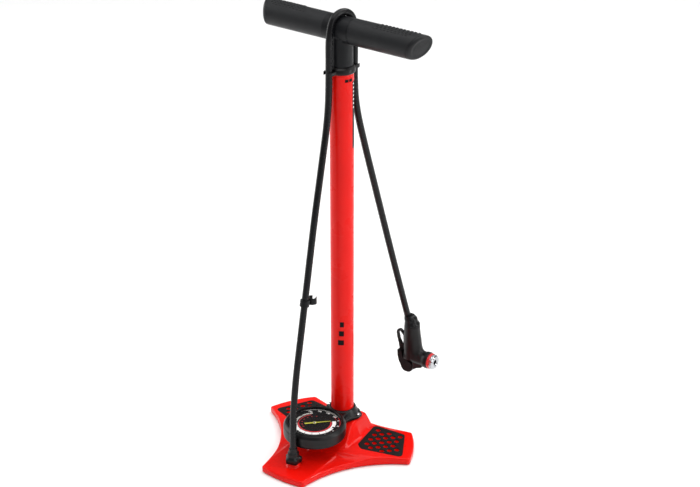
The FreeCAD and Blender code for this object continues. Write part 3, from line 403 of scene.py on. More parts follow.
def rounded(points, steps=6, closed=False):
    """A polyline whose corners with a third number are rounded to about that radius."""
    out = []
    count = len(points)
    for i, point in enumerate(points):
        radius = point[2] if len(point) > 2 else 0
        if not radius or (not closed and i in (0, count - 1)):
            out.append((point[0], point[1]))
            continue
        corner = Vector(point[:2])
        before = Vector(points[i - 1][:2]) - corner
        after = Vector(points[(i + 1) % count][:2]) - corner
        half = before.angle(after) / 2
        reach = min(radius / math.tan(half), before.length * 0.49, after.length * 0.49)
        start = corner + before.normalized() * reach
        end = corner + after.normalized() * reach
        for k in range(steps + 1):
            t = k / steps
            spot = start * (1 - t) ** 2 + corner * (2 * t * (1 - t)) + end * t ** 2
            out.append((spot.x, spot.y))
    return out


def lathe_mesh(profile, closed=False, sides=96, wave=None):
    """Points and faces of a profile of (radius, height) turned about an upright axis."""
    rows = len(profile)
    verts = []
    for angle in turns(sides):
        for radius, height in profile:
            reach = radius * (wave(angle, height) if wave else 1.0)
            verts.append((reach * math.cos(angle), reach * math.sin(angle), height))
    faces = []
    last = rows if closed else rows - 1
    for i in range(sides):
        j = (i + 1) % sides
        for k in range(last):
            m = (k + 1) % rows
            faces.append((i * rows + k, j * rows + k, j * rows + m, i * rows + m))
    return verts, faces


def turning(profile, centre=(0.0, 0.0), lying=None, **options):
    """A turned shape: upright at centre (x, y), or lying along X through the point lying (y, z)."""
    verts, faces = lathe_mesh(profile, **options)
    if lying:
        return [(h, lying[0] + y, lying[1] + x) for x, y, h in verts], faces
    return [(x + centre[0], y + centre[1], h) for x, y, h in verts], faces


def turned(name, profile, finish, body, centre=(0.0, 0.0), lying=None, **more):
    options = {key: more.pop(key) for key in ("closed", "sides", "wave") if key in more}
    return object_from(name, *turning(profile, centre, lying, **options), finish, body, **more)


def slab_mesh(outline, holes, low, high, bevel):
    """A flat slab with holes and softened edges, as a mesh in millimetres."""
    curve = bpy.data.curves.new("slab", "CURVE")
    curve.dimensions = "2D"
    curve.fill_mode = "BOTH"
    for ring in [outline] + list(holes):
        spline = curve.splines.new("POLY")
        spline.points.add(len(ring) - 1)
        for point, (x, y) in zip(spline.points, ring):
            point.co = (x, y, 0, 1)
        spline.use_cyclic_u = True
    curve.extrude = (high - low) / 2 - bevel
    curve.bevel_depth = bevel
    curve.bevel_resolution = 2
    curve.offset = -bevel
    holder = bpy.data.objects.new("slab", curve)
    mesh = bpy.data.meshes.new_from_object(holder)
    mesh.transform(Matrix.Translation((0, 0, (high + low) / 2)))
    bpy.data.objects.remove(holder)
    return mesh


def circle(x, y, radius, count=24):
    return [(x + radius * math.cos(turn), y + radius * math.sin(turn)) for turn in turns(count)]


def place(mesh, name, finish, body, move, **more):
    """Turn a mesh in millimetres into a dressed object, after a move that may mirror it."""
    mesh.transform(move)
    mesh.transform(Matrix.Translation((0, AXIS_Y, 0)) @ Matrix.Scale(MM, 4))
    if move.determinant() < 0:
        mesh.flip_normals()
    mesh.name = name
    tidy_mesh(mesh)
    return dressed(linked(name, mesh), finish, body, **more)


def cutter(verts, faces):
    """A bare object from points in millimetres, for a boolean or for a remesh."""
    return mesh_object("cutter", [at(*v) for v in verts], faces)


def ring_quads(rows, sides, closed=False):
    """Faces between rings of points that are listed ring after ring."""
    faces = []
    for i in range(rows if closed else rows - 1):
        j = (i + 1) % rows
        for k in range(sides):
            m = (k + 1) % sides
            faces.append((i * sides + k, i * sides + m, j * sides + m, j * sides + k))
    return faces


def ring_ends(rows, sides):
    """One face over the first ring and one over the last."""
    return [tuple(range(sides))[::-1], tuple(range((rows - 1) * sides, rows * sides))]


def prism(outline, low, high, upright=False):
    """A plan between two heights; or, upright, a side view in (x, z) between two y."""
    count = len(outline)
    verts = [(x, y, low) for x, y in outline] + [(x, y, high) for x, y in outline]
    if upright:
        verts = [(x, z, y) for x, y, z in verts]
    faces = [tuple(range(count))[::-1], tuple(range(count, 2 * count))]
    faces += [(i, (i + 1) % count, count + (i + 1) % count, count + i) for i in range(count)]
    return verts, faces


def prism_cutter(outline, low, high, upright=False):
    return cutter(*prism(outline, low, high, upright))


def disc_cutter(x, y, radius, low, high, sides=72):
    return prism_cutter(circle(x, y, radius, sides), low, high)


def rod_cutter(y, z, radius, low, high):
    """A round bore along X."""
    return cutter(*turning([(0, low), (radius, low), (radius, high), (0, high)], lying=(y, z), sides=72))


def joined(shapes):
    """Several shapes' points and faces as one list of each."""
    verts, faces = [], []
    for more_verts, more_faces in shapes:
        shift = len(verts)
        verts += list(more_verts)
        faces += [tuple(i + shift for i in face) for face in more_faces]
    return verts, faces


def melted(name, shapes, voxel, passes, finish, body, tools, **more):
    """Overlapping closed shapes fused into one skin with soft joints, then cut crisply.

    voxel is the skin's step in millimetres, and passes says how often it is smoothed."""
    made = cutter(*joined(shapes))
    made.name = name
    made.data.name = name
    bpy.context.view_layer.objects.active = made
    skin = made.modifiers.new("skin", "REMESH")
    skin.mode = "VOXEL"
    skin.voxel_size = voxel * MM
    bpy.ops.object.modifier_apply(modifier=skin.name)
    flow = made.modifiers.new("flow", "SMOOTH")
    flow.iterations = passes
    bpy.ops.object.modifier_apply(modifier=flow.name)
    carve(made, tools)
    return dressed(made, finish, body, **more)


def carve(made, cutters):
    """Cut closed cutters out of an object, one after the other, and drop them."""
    bpy.context.view_layer.objects.active = made
    for tool in cutters:
        change = made.modifiers.new("carve", "BOOLEAN")
        change.operation = "DIFFERENCE"
        change.solver = "EXACT"
        change.object = tool
        bpy.ops.object.modifier_apply(modifier=change.name)
        bpy.data.objects.remove(tool)
    return made


# ---- Camera, light and floor ----
def facing(name, data, azimuth, elevation, centre, distance):
    """An object at a distance from a centre, facing it; azimuth 0 is the front."""
    flat = math.cos(elevation)
    out = Vector((math.sin(azimuth) * flat, -math.cos(azimuth) * flat, math.sin(elevation)))
    made = linked(name, data)
    made.location = centre + out * distance
    made.rotation_mode = "QUATERNION"
    made.rotation_quaternion = (-out).to_track_quat("-Z", "Y")
    return made


def make_camera():
    right = Vector((math.cos(CAMERA_AZIMUTH), math.sin(CAMERA_AZIMUTH), 0))
    target = at(0, 0, CAMERA_TARGET_Z) + right * CAMERA_SHIFT_RIGHT * MM
    data = bpy.data.cameras.new("camera")
    data.lens = CAMERA_LENS
    data.sensor_width = SENSOR
    data.clip_start = 0.1
    data.clip_end = 50
    bpy.context.scene.camera = facing("camera", data, CAMERA_AZIMUTH, CAMERA_ELEVATION, target,
                                      CAMERA_DISTANCE * MM)


def soft_light(name, azimuth, elevation, distance, size, power):
    """An area light on a sphere round the pump's middle, facing it."""
    data = bpy.data.lights.new(name, "AREA")
    data.shape = "RECTANGLE"
    data.size, data.size_y = size
    data.energy = power
    facing(name, data, math.radians(azimuth), math.radians(elevation), at(0, 0, STAGE_MIDDLE_Z), distance)


def make_stage():
    world = bpy.data.worlds.new("studio")
    world.use_nodes = True
    world.node_tree.nodes["Background"].inputs["Color"].default_value = (1, 1, 1, 1)
    world.node_tree.nodes["Background"].inputs["Strength"].default_value = WORLD_STRENGTH
    bpy.context.scene.world = world
    bpy.context.scene.view_settings.view_transform = "Standard"
    mesh = bpy.data.meshes.new("floor")
    corners = [(x * FLOOR_HALF, y * FLOOR_HALF, 0) for x, y in ((-1, -1), (1, -1), (1, 1), (-1, 1))]
    mesh.from_pydata(corners, [], [(0, 1, 2, 3)])
    floor = linked("floor", mesh)
    mesh.materials.append(finish_of("floor_white", (0.90, 0.90, 0.90), rough=0.9, vary=0.005, drift=2,
                                    specular=0.1))
    for light in LIGHTS:
        soft_light(*light)


# ---- Hose ----
def spline_line(points, resolution):
    """Points along the smooth line that a NURBS spline makes of a route."""
    curve = bpy.data.curves.new("route", "CURVE")
    curve.dimensions = "3D"
    curve.resolution_u = resolution
    spline = curve.splines.new("NURBS")
    spline.points.add(len(points) - 1)
    for point, spot in zip(spline.points, points):
        point.co = (*at(*spot), 1)
    spline.order_u = 3
    spline.use_endpoint_u = True
    holder = bpy.data.objects.new("route", curve)
    mesh = bpy.data.meshes.new_from_object(holder)
    line = [v.co.copy() for v in mesh.vertices]
    bpy.data.objects.remove(holder)
    return line


def tube_along(line, radius, sides):
    """A closed tube round a line, with its rings turned as little as possible."""
    verts = []
    side = None
    for i, here in enumerate(line):
        ahead = (line[min(i + 1, len(line) - 1)] - line[max(i - 1, 0)]).normalized()
        if side is None:
            side = ahead.orthogonal().normalized()
        side = (side - ahead * side.dot(ahead)).normalized()
        up = ahead.cross(side)
        for angle in turns(sides):
            verts.append(here + (side * math.cos(angle) + up * math.sin(angle)) * radius)
    return verts, ring_quads(len(line), sides) + ring_ends(len(line), sides)


def make_hose():
    """The free hose: one tube along its route from the base, over the sliding handle, to the head."""
    line = spline_line(HOSE_ROUTE, HOSE_STEPS)
    hose = mesh_object("hose", *tube_along(line, HOSE_DIAMETER / 2 * MM, HOSE_SIDES))
    dressed(hose, "hose_rubber", None, 50, replaces=("hose_front", "hose_back"))
    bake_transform(hose)
    return hose, line


# ---- Base ----
def arc_points(first, middle, last, count):
    """Points on the circle through three points, from the first up to the last."""
    a, b, c = (complex(*p) for p in (first, middle, last))
    w = (c - a) / (b - a)
    centre = (b - a) * (w - abs(w) ** 2) / (2j * w.imag) + a
    start = math.atan2((a - centre).imag, (a - centre).real)
    turn = math.atan2(((c - centre) / (a - centre)).imag, ((c - centre) / (a - centre)).real)
    radius = abs(a - centre)
    return [(centre.real + radius * math.cos(start + turn * i / count),
             centre.imag + radius * math.sin(start + turn * i / count)) for i in range(count)]


def resampled(points, spacing, soften):
    """A closed line at even spacing, its corners softened over a given length."""
    ring = np.array(points + points[:1])
    run = np.concatenate([[0], np.cumsum(np.linalg.norm(np.diff(ring, axis=0), axis=1))])
    count = int(run[-1] / spacing)
    steps = np.linspace(0, run[-1], count, endpoint=False)
    even = np.stack([np.interp(steps, run, ring[:, k]) for k in (0, 1)], axis=1)
    reach = int(4 * soften / spacing)
    weights = np.exp(-0.5 * (np.arange(-reach, reach + 1) * spacing / soften) ** 2)
    weights /= weights.sum()
    return sum(w * np.roll(even, shift, axis=0) for w, shift in zip(weights, range(-reach, reach + 1)))


def on_side_arm(along, across):
    """A place in plan from the way along and across the right arm."""
    return (along * math.cos(SIDE_ANGLE) - across * math.sin(SIDE_ANGLE),
            BASE_CENTRE[1] + along * math.sin(SIDE_ANGLE) + across * math.cos(SIDE_ANGLE))


def base_outline():
    """The three-armed plan of the casting, anticlockwise."""
    half = [(0, -163.98), (40.0, -159.98), (69.0, -73.0), (137.2, -11.8), (120.84, 25.27), (95.9, 57.2)]

    def flip(p):
        return (-p[0], p[1])

    points = arc_points(flip(half[1]), half[0], half[1], 60)
    points += arc_points(half[1], half[2], half[3], 160)
    points += arc_points(half[3], half[4], half[5], 60)
    points += arc_points(half[5], (0, 43.2), flip(half[5]), 160)
    points += arc_points(flip(half[5]), flip(half[4]), flip(half[3]), 60)
    points += arc_points(flip(half[3]), flip(half[2]), flip(half[1]), 160)
    return points


def soft_max(a, b, reach):
    """The larger of two heights, with the crease between them filled over a reach."""
    share = np.clip(1 - np.abs(a - b) / reach, 0, None)
    return np.maximum(a, b) + share ** 2 * reach / 4


def soft_ramp(x, width):
    """Nothing below zero and x above it, with a soft bend between."""
    return (x + np.sqrt(x * x + width * width)) / 2


def arm_height(along, across, sections, rear=(1, 1, 1, 1)):
    """An arm with a flat top, a crisp ridge along each side and hollow flanks."""
    table = np.array(sorted(sections))
    top, half = (np.interp(along, table[:, 0], table[:, k]) for k in (1, 2))
    half = np.where(across > 0, half * np.interp(along, REAR_PLACES, rear), half)
    beyond = np.abs(across) - half
    fall = 0.35 * soft_ramp(beyond + 1.4, 0.3) + 0.65 * soft_ramp(beyond, 0.7)
    return PLATE_TOP + (top - PLATE_TOP) * np.exp(-fall / FLANK_RUN)


def hub_height(x, y):
    """The pedestal under the collar: a flat top and four slopes, with softened edges."""
    share_front = (y - HUB_FRONT[0]) / HUB_FRONT[1]
    share_back = (HUB_BACK[0] - y) / HUB_BACK[1]
    side_low = np.interp(y, [HUB_FRONT[0], 40.0], [52.0, 34.0])
    side_high = np.interp(y, [-14.0, 24.0], [31.0, 28.0])
    share_side = (side_low - x) / (side_low - side_high)
    share = np.ones_like(x)
    for other in (share_front, share_back, share_side):
        share = -soft_max(-share, -other, 0.16)
    return PLATE_TOP + (HUB_TOP - PLATE_TOP) * share


def base_height(x, y):
    """The casting's upper side, which is mirrored left to right."""
    x = np.abs(x)
    front = arm_height(y, x, FRONT_ARM)
    east, north = x - BASE_CENTRE[0], y - BASE_CENTRE[1]
    along = east * math.cos(SIDE_ANGLE) + north * math.sin(SIDE_ANGLE)
    across = -east * math.sin(SIDE_ANGLE) + north * math.cos(SIDE_ANGLE)
    side = arm_height(along, across, SIDE_ARM, REAR_SHARE)
    height = soft_max(front, side, 5.0)
    height = soft_max(height, hub_height(x, y), 9.0)
    boss = NUT_SPAN[0] - 0.4 - BOSS_SLOPE * soft_ramp(np.hypot(x, y - FITTING_Y) - BOSS_R, 0.6)
    height = soft_max(height, boss, 2.0)
    clear = GAUGE_CLEAR_Z + 1.2 * np.clip(np.hypot(x, y - GAUGE_Y) - GAUGE_R - 1.0, 0, None)
    return np.minimum(height, np.minimum(clear, HUB_TOP - 0.1))


def make_base():
    """The painted casting, laid out in rings that follow its outline."""
    edge = resampled(base_outline(), 1.15, 2.2)
    count = len(edge)
    ahead = np.roll(edge, -1, axis=0) - np.roll(edge, 1, axis=0)
    ahead /= np.linalg.norm(ahead, axis=1)[:, None]
    inward = np.stack([-ahead[:, 1], ahead[:, 0]], axis=1)
    rings = [(edge + inward * inset, np.full(count, BASE_BOTTOM + rise))
             for inset, rise in ((1.0, 0), (0.3, 0.3), (0, 1.0))]
    inner = edge + inward * RIM_R
    for angle in (0, 15, 30, 45, 60, 75, 90):
        inset = RIM_R * (1 - math.cos(math.radians(angle)))
        drop = RIM_R * (1 - math.sin(math.radians(angle)))
        spots = edge + inward * inset
        rings.append((spots, base_height(*inner.T) - drop))
    centre = np.array(BASE_CENTRE)
    for share in np.linspace(1, 0.12, 96)[1:]:
        spots = centre + (inner - centre) * share
        rings.append((spots, base_height(*spots.T)))
    verts = []
    for spots, heights in rings:
        verts += [(x, y, z) for (x, y), z in zip(spots, heights)]
    faces = ring_quads(len(rings), count) + ring_ends(len(rings), count)[::-1]
    base = object_from("base_shell", verts, faces, "red_paint", "base", 38, replaces=("base_casting",))
    carve(base, base_cutters(edge, inward))
    return dressed(base, "red_paint", "base", 38)


def base_cutters(edge, inward):
    """Pad pockets and holes, bores, the pockets for the rubber feet and the hollow underneath."""
    wells = [prism(circle(x, y, HOLE_R, 32), -PAD_SINK - HOLE_DEPTH, 2) for x, y in pad_holes()]
    tools = []
    for side in (-1, 1):
        for shape in (prism(grown_pad(0.4), -PAD_SINK - 0.1, 8), joined(wells)):
            tool = cutter(*shape)
            tool.data.transform(pad_tilt(side, metres=True))
            tidy_mesh(tool.data)
            tools.append(tool)
    tools += [disc_cutter(x, y, FOOT_POCKET_R, -1, FOOT_POCKET_TOP, 48) for x, y in FOOT_PLACES]
    tools += [disc_cutter(0, *bore) for bore in BASE_BORES]
    return tools + [underside(edge, inward)]


def underside(edge, inward):
    """The hollow below the casting, less the posts for the bolt and feet and a rib in each arm."""
    hollow = [(float(x), float(y)) for x, y in (edge + inward * BASE_WALL)[::4]]
    keep = [disc_cutter(0, 0, 24, -2, 8, 64)]
    keep.append(prism_cutter([(-5.5, -170), (5.5, -170), (5.5, -10), (-5.5, -10)], -2, 8))
    keep += [disc_cutter(x, y, 14, -2, 8, 48) for x, y in FOOT_PLACES]
    rib = [on_side_arm(*p) for p in ((0, -RIB_HALF), (150, -RIB_HALF), (150, RIB_HALF), (0, RIB_HALF))]
    for side in (-1, 1):
        keep.append(prism_cutter([(side * x, y) for x, y in rib], -2, 8))
    return carve(prism_cutter(hollow, -1, HOLLOW_TOP), keep)


# ---- Foot pads ----
def grown_pad(margin):
    """The right-hand pad's plan with rounded corners, grown by a margin."""
    centre_x = sum(x for x, y in PAD_CORNERS) / len(PAD_CORNERS)
    centre_y = sum(y for x, y in PAD_CORNERS) / len(PAD_CORNERS)
    grown = []
    for x, y in PAD_CORNERS:
        reach = math.hypot(x - centre_x, y - centre_y)
        scale = (reach + margin) / reach
        grown.append((centre_x + (x - centre_x) * scale, centre_y + (y - centre_y) * scale, 8.0))
    return rounded(grown, 8, closed=True)


def pad_tilt(side, metres=False):
    """Lays a level shape at z = 0 on a side arm's sloping top; side -1 is the left arm."""
    unit = MM if metres else 1.0
    shift = AXIS_Y if metres else 0.0
    across = Vector((-math.sin(SIDE_ANGLE), math.cos(SIDE_ANGLE), 0))
    x, y = on_side_arm(SIDE_REACH, 0)
    centre = Vector((x * unit, y * unit + shift, 0))
    turn = Matrix.Rotation(math.atan(ARM_SLOPE), 4, across)
    lift = Matrix.Translation((0, 0, EDGE_TOP * unit))
    tilt = lift @ Matrix.Translation(centre) @ turn @ Matrix.Translation(-centre)
    return Matrix.Diagonal((side, 1, 1, 1)) @ tilt


def inside(polygon, x, y):
    hit = False
    for (ax, ay), (bx, by) in zip(polygon, polygon[1:] + polygon[:1]):
        if (ay > y) != (by > y) and x < (bx - ax) * (y - ay) / (by - ay) + ax:
            hit = not hit
    return hit


def pad_holes():
    """A slanting grid of round holes."""
    border = grown_pad(-7.5)
    spots = []
    for row in range(-8, 9):
        for column in range(-8, 9):
            x = HOLE_START[0] + row * HOLE_ROW[0] + column * HOLE_COLUMN[0]
            y = HOLE_START[1] + row * HOLE_ROW[1] + column * HOLE_COLUMN[1]
            if inside(border, x, y):
                spots.append((x, y))
    return spots


def make_pads():
    for side, word in ((1, "right"), (-1, "left")):
        holes = [circle(x, y, HOLE_R + 0.1, 32) for x, y in pad_holes()]
        mesh = slab_mesh(grown_pad(0.0), holes, -PAD_SINK, PAD_PROUD, 0.35)
        place(mesh, "pad_" + word, "pad_rubber", "base", pad_tilt(side), sharp=40,
              replaces=("foot_pad_" + word,))


# ---- Barrel, nut and sleeve ----
def patch(radius, turn, heights, depth=0.1):
    """A thin curved label on the barrel, between two plan angles in degrees and two heights."""
    count = 12
    verts = []
    for i in range(count + 1):
        angle = math.radians(turn[0] + (turn[1] - turn[0]) * i / count)
        for reach in (radius, radius + depth):
            for height in heights:
                verts.append((reach * math.cos(angle), reach * math.sin(angle), height))
    faces = [(0, 1, 3, 2), (4 * count, 4 * count + 2, 4 * count + 3, 4 * count + 1)]
    for i in range(count):
        here, there = 4 * i, 4 * i + 4
        for a, b in ((0, 1), (1, 3), (3, 2), (2, 0)):
            faces.append((here + a, here + b, there + b, there + a))
    return verts, faces


def label(name, patches, finish):
    """Print on the barrel."""
    object_from(name, *joined(patches), finish, "base", slot="red_paint")


def make_barrel():
    """The painted tube, with a dark strip scale near its top and three plain bars lower down."""
    bottom, top = BARREL_SPAN
    inner = BARREL_R - BARREL_WALL
    profile = [(inner, bottom), (BARREL_R, bottom), (BARREL_R, top), (inner, top)]
    turned("barrel", profile, "red_paint", "base", closed=True, sides=160, replaces=("barrel_tube",))
    on_paint = BARREL_R + 0.01
    first = STRIP_TURN[0]
    strip_top = STRIP_SPAN[1]
    strip = [patch(on_paint, STRIP_TURN, STRIP_SPAN)]
    for turn in ((first - 46, first - 28), (first - 24, first - 5)):
        strip.append(patch(on_paint, turn, (strip_top + 1.5, strip_top + 6.0)))
    label("barrel_scale", strip, "print_dark")
    ticks = []
    for i in range(STRIP_TICKS):
        height = strip_top - 5 - STRIP_STEP * i
        ticks.append(patch(BARREL_R + 0.08, (first + 5, first + 14), (height, height + 2.4)))
    label("scale_ticks", ticks, "print_white")
    bars = [patch(on_paint, (MARK_TURN[0] + 5 * i, MARK_TURN[1]), (height, height + MARK_HEIGHT))
            for i, height in enumerate(MARK_BARS)]
    label("barrel_mark", bars, "print_dark")


def nut_wave(angle, height):
    """The nut's lobes, which fade out towards its top."""
    swing = 0.5 + 0.5 * math.cos(NUT_LOBES * (angle - math.radians(NUT_TURN)))
    fade = min(1.0, max(0.0, (31.5 - height) / 4.5))
    return 1.0 + NUT_WAVE * swing ** 1.3 * fade * fade * (3 - 2 * fade)


def make_nut():
    """The lobed hand nut and the tapered sleeve above it."""
    low, high = NUT_SPAN
    profile = rounded([(7.2, low), (10.6, low, 2.0), (10.9, 27, 2.5), (9.0, 30.5, 1.0), (8.9, high, 1.2),
                       (7.2, high)])
    steps = []
    for here, ahead in zip(profile, profile[1:]):
        steps += [here, ((here[0] + ahead[0]) / 2, (here[1] + ahead[1]) / 2)]
    turned("nut_shell", steps + [profile[-1]], "moulded_black", "base", (0, FITTING_Y), closed=True,
           sides=160, wave=nut_wave, replaces=("hose_nut",))
    sleeve = rounded([(5.3, 32), (7.9, 32, 0.3), (7.9, 37.2, 0.8), (7.0, 38.0, 0.5), (6.7, 43.4, 0.6),
                      (5.3, 44)])
    turned("sleeve", sleeve, "moulded_black", "base", (0, FITTING_Y), closed=True,
           replaces=("hose_sleeve",))


# ---- Gauge ----
def make_gauge_shell():
    """The moulding: dial bowl, a cone round the barrel and two wings, all flowing together."""
    bowl = rounded([(0, 41), (43, 40, 3), (49.2, 42.5, 3), (49.3, 59.0, 2.5), (46.2, 63.9, 2), (0, 63.9)])
    cone = [(0, 41.6), (26.5, 41.6), (24.5, 48), (20.6, 56.8), (0, 56.8)]
    half = [(0, 21), (18, 21), (31, 10.5), (31.6, 0), (27, -9), (23.5, -17), (24.5, -28), (30, -38),
            (0, -38)]
    plan = half + [(-x, y) for x, y in half[-2:0:-1]]
    web = [(19, -4), (20, -40), (-20, -40), (-19, -4)]
    shapes = [turning(bowl, (0, GAUGE_Y)), turning(cone), prism(plan, 41.7, 46.7), prism(web, 42, 55)]
    tools = [disc_cutter(0, GAUGE_Y, 43.0, 43.0, 70), disc_cutter(0, 0, BARREL_R + 0.08, 30, 70),
             disc_cutter(0, GAUGE_Y, 46.0, 61.4, 70), disc_cutter(0, GAUGE_Y + 24, 4.6, 35, 50)]
    tools += [disc_cutter(side * 27.5, 5, 1.9, 40, 60) for side in (-1, 1)]
    melted("gauge_shell", shapes, 0.7, 9, "moulded_black", "base", tools, sharp=42,
           replaces=("gauge_housing",))
    rim = rounded([(41.4, 63.66), (43.1, 63.66), (43.1, 61.5), (45.9, 61.5), (45.9, 63.6, 0.5),
                   (44.6, 64.85, 1.2), (42.0, 64.6, 0.9)], closed=True)
    turned("bezel_ring", rim, "bezel_black", "base", (0, GAUGE_Y), closed=True, sides=160,
           replaces=("gauge_bezel",))


def sector(inner, outer, start, end):
    """A thin piece of a ring on the dial, between two plan angles in degrees."""
    count = max(2, int(abs(end - start) / 3))
    angles = [math.radians(start + (end - start) * i / count) for i in range(count + 1)]
    ring = [(inner * math.cos(a), GAUGE_Y + inner * math.sin(a)) for a in angles]
    ring += [(outer * math.cos(a), GAUGE_Y + outer * math.sin(a)) for a in reversed(angles)]
    return prism(ring, DIAL_TOP + 0.01, DIAL_TOP + 0.09)


def number(text, size, reach, turn):
    """Raised figures on the dial, centred at a radius and a plan angle."""
    curve = bpy.data.curves.new("figures", "FONT")
    curve.body = text
    curve.size = size
    curve.align_x = "CENTER"
    curve.align_y = "CENTER"
    curve.extrude = 0.04
    curve.offset = 0.09
    holder = bpy.data.objects.new("figures", curve)
    mesh = bpy.data.meshes.new_from_object(holder)
    a = math.radians(turn)
    spot = (reach * math.cos(a), GAUGE_Y + reach * math.sin(a), DIAL_TOP + 0.05)
    verts = [(v.co.x + spot[0], v.co.y + spot[1], v.co.z + spot[2]) for v in mesh.vertices]
    faces = [tuple(face.vertices) for face in mesh.polygons]
    bpy.data.objects.remove(holder)
    return verts, faces


def sectors(inner, outer, start, step, width, count):
    """Equal pieces of one ring on the dial, a step apart."""
    return [sector(inner, outer, start + step * i, start + step * i + width) for i in range(count)]


def make_dial_print():
    """Scales, ticks and plain figures, each a thin layer on the dial's face."""
    white = sectors(27.6, 33.4, DIAL_ZERO, -WHITE_STEP, WHITE_GAP - WHITE_STEP, 9)
    grey = sectors(28.2, 31.6, 230, -11, -9.6, 9)
    red = [sector(24.4, 26.7, DIAL_ZERO - 3, -150), sector(24.8, 25.9, -154, -222)]
    red += [number(str(2 * i), 3.0, 20.2, 118 + 21 * i) for i in range(7)]
    for i, text in enumerate(("0", "20", "40", "60")):
        white.append(number(text, 4.6 if i == 0 else 3.6, 37.4, DIAL_ZERO - 24 * i))
    for i, text in enumerate(("160", "140", "120", "100")):
        white.append(number(text, 4.4, 35.6, 66 + 24 * i))
    grey += [sector(39.3, 40.1, 62, 148), sector(37.9, 38.3, 66, 100)]
    red += [sector(39.3, 40.3, 22, 58), sector(34.6, 35.2, 50, 64)]
    grey += sectors(40.6, 41.5, DIAL_ZERO + 12, 3.4, 0.9, 30)
    grey += sectors(35.4, 36.4, -52, -9, -1.2, 9)
    for colour, shapes in (("white", white), ("grey", grey), ("red", red)):
        object_from("dial_print_" + colour, *joined(shapes), "print_" + colour, "base", slot="dial_black")


# ---- Handle ----
def slanted_rings(name, stations, side, **more):
    """A closed rubber part along X through rings of (x, radius, share of the end's slant)."""
    verts = []
    rows = len(stations)
    sides = 144
    for angle in turns(sides):
        for x, radius, share in stations:
            y, z = radius * math.cos(angle), radius * math.sin(angle)
            reach = x + share * (END_SLANT * y + END_RAKE[side] * z)
            verts.append((side * reach, y, HANDLE_Z + z))
    faces = []
    for k in range(sides):
        m = (k + 1) % sides
        for i in range(rows):
            j = (i + 1) % rows
            faces.append((k * rows + i, k * rows + j, m * rows + j, m * rows + i))
    return object_from(name, verts, faces, "grip_rubber", "plunger", **more)


def make_grip(side, word):
    """The rubber sleeve from the saddle to the end cap's seam."""
    end = HANDLE_HALF - END_CAP
    start = SADDLE_HALF + 0.15
    stations = [(start, CORE_R, 0), (start, HANDLE_R - 0.35, 0), (start + 0.35, HANDLE_R, 0)]
    for i in range(1, 12):
        share = i / 12
        stations.append((start + 0.35 + (end - 0.7 - start) * share, HANDLE_R, share ** 3))
    stations += [(end - 0.4, HANDLE_R, 1), (end, HANDLE_R - 0.4, 1), (end, CORE_R, 1)]
    slanted_rings("grip_sleeve_" + word, stations, side, sharp=30, replaces=("grip_" + word,))


def make_end_cap(side, word):
    """The slanted plug: a seam, a soft bead round its rim and a faintly domed face."""
    seam = HANDLE_HALF - END_CAP + 0.15
    tip = HANDLE_HALF
    bead = 4.2
    stations = [(seam, CORE_R, 1), (seam, HANDLE_R - 0.7, 1), (seam + 0.4, HANDLE_R - 0.15, 1)]
    for i in range(8):
        angle = math.radians(-10 + 15 * i)
        radius = HANDLE_R - bead - 0.1 + bead * math.cos(angle)
        stations.append((tip - bead + bead * math.sin(angle), radius, 1))
    stations += [(tip - 0.7, 13.4, 1), (tip - 0.6, 11.0, 1), (tip - 0.35, 6.0, 1), (tip - 0.3, 0.02, 1)]
    stations.append((seam, 0.02, 1))
    slanted_rings("end_plug_" + word, stations, side, sharp=40, replaces=("end_cap_" + word,))


def make_dashes(side, word):
    """Rows of low raised dashes over the top of the handle, near one end."""
    shapes = []
    for row in range(9):
        turn = math.radians(DASH_TURN + DASH_TURN_STEP * row)
        for column in range(10):
            x = DASH_START + DASH_STEP * column + DASH_STEP / 2 * (row % 2)
            shapes.append(dash(side * (x - 9 * math.cos(turn)), turn))
    object_from("grip_dashes_" + word, *joined(shapes), "grip_rubber", "plunger", sharp=60)


def dash(x, turn):
    """One raised dash: a little rounded bar that lies on the handle's surface."""
    rows = [(-2.2, 0.1, -0.2), (-1.5, 0.8, 0.6), (1.5, 0.8, 0.6), (2.2, 0.1, -0.2)]
    out = (math.cos(turn), math.sin(turn))
    verts = []
    for along, half, lift in rows:
        for k in range(7):
            swing = math.pi * k / 6
            across = -half * math.cos(swing)
            up = HANDLE_R - 0.15 + (lift + 0.35) * math.sin(swing)
            verts.append((x + along, -out[0] * up + out[1] * across,
                          HANDLE_Z + out[1] * up + out[0] * across))
    return verts, ring_quads(len(rows), 7)


def make_neck():
    """The T-piece: a round neck that flows into the saddle round the handle."""
    neck = [(0, NECK_BOTTOM), (NECK_R, NECK_BOTTOM), (NECK_R, HANDLE_Z), (0, HANDLE_Z)]
    half = SADDLE_HALF + 6
    saddle = [(0, -half), (HANDLE_R + 0.05, -half), (HANDLE_R + 0.05, half), (0, half)]
    shapes = [turning(neck, sides=128), turning(saddle, lying=(0, HANDLE_Z), sides=128)]
    tools = [rod_cutter(0, HANDLE_Z, CORE_R, -40, 40), disc_cutter(0, 0, 6.05, 600, HANDLE_Z)]
    tools += [rod_cutter(0, HANDLE_Z, 30, *sorted((side * SADDLE_HALF, side * 60))) for side in (-1, 1)]
    melted("neck_shell", shapes, 0.6, 10, "neck_black", "plunger", tools, replaces=("handle_neck",))


def make_handle():
    make_neck()
    for side, word in ((-1, "left"), (1, "right")):
        make_grip(side, word)
        make_end_cap(side, word)
        make_dashes(side, word)


# ---- Pump head ----
def stacked(levels, closed=False):
    """A skin through level ellipses given as (height, (x, y) of the centre, half axes).

    Its two ends are capped, or the last level joins the first where it is closed."""
    sides = 72
    verts = []
    for z, (x, y), (a, b) in levels:
        for angle in turns(sides):
            verts.append((x + a * math.cos(angle), y + b * math.sin(angle), z))
    ends = [] if closed else ring_ends(len(levels), sides)
    return verts, ends + ring_quads(len(levels), sides, closed)


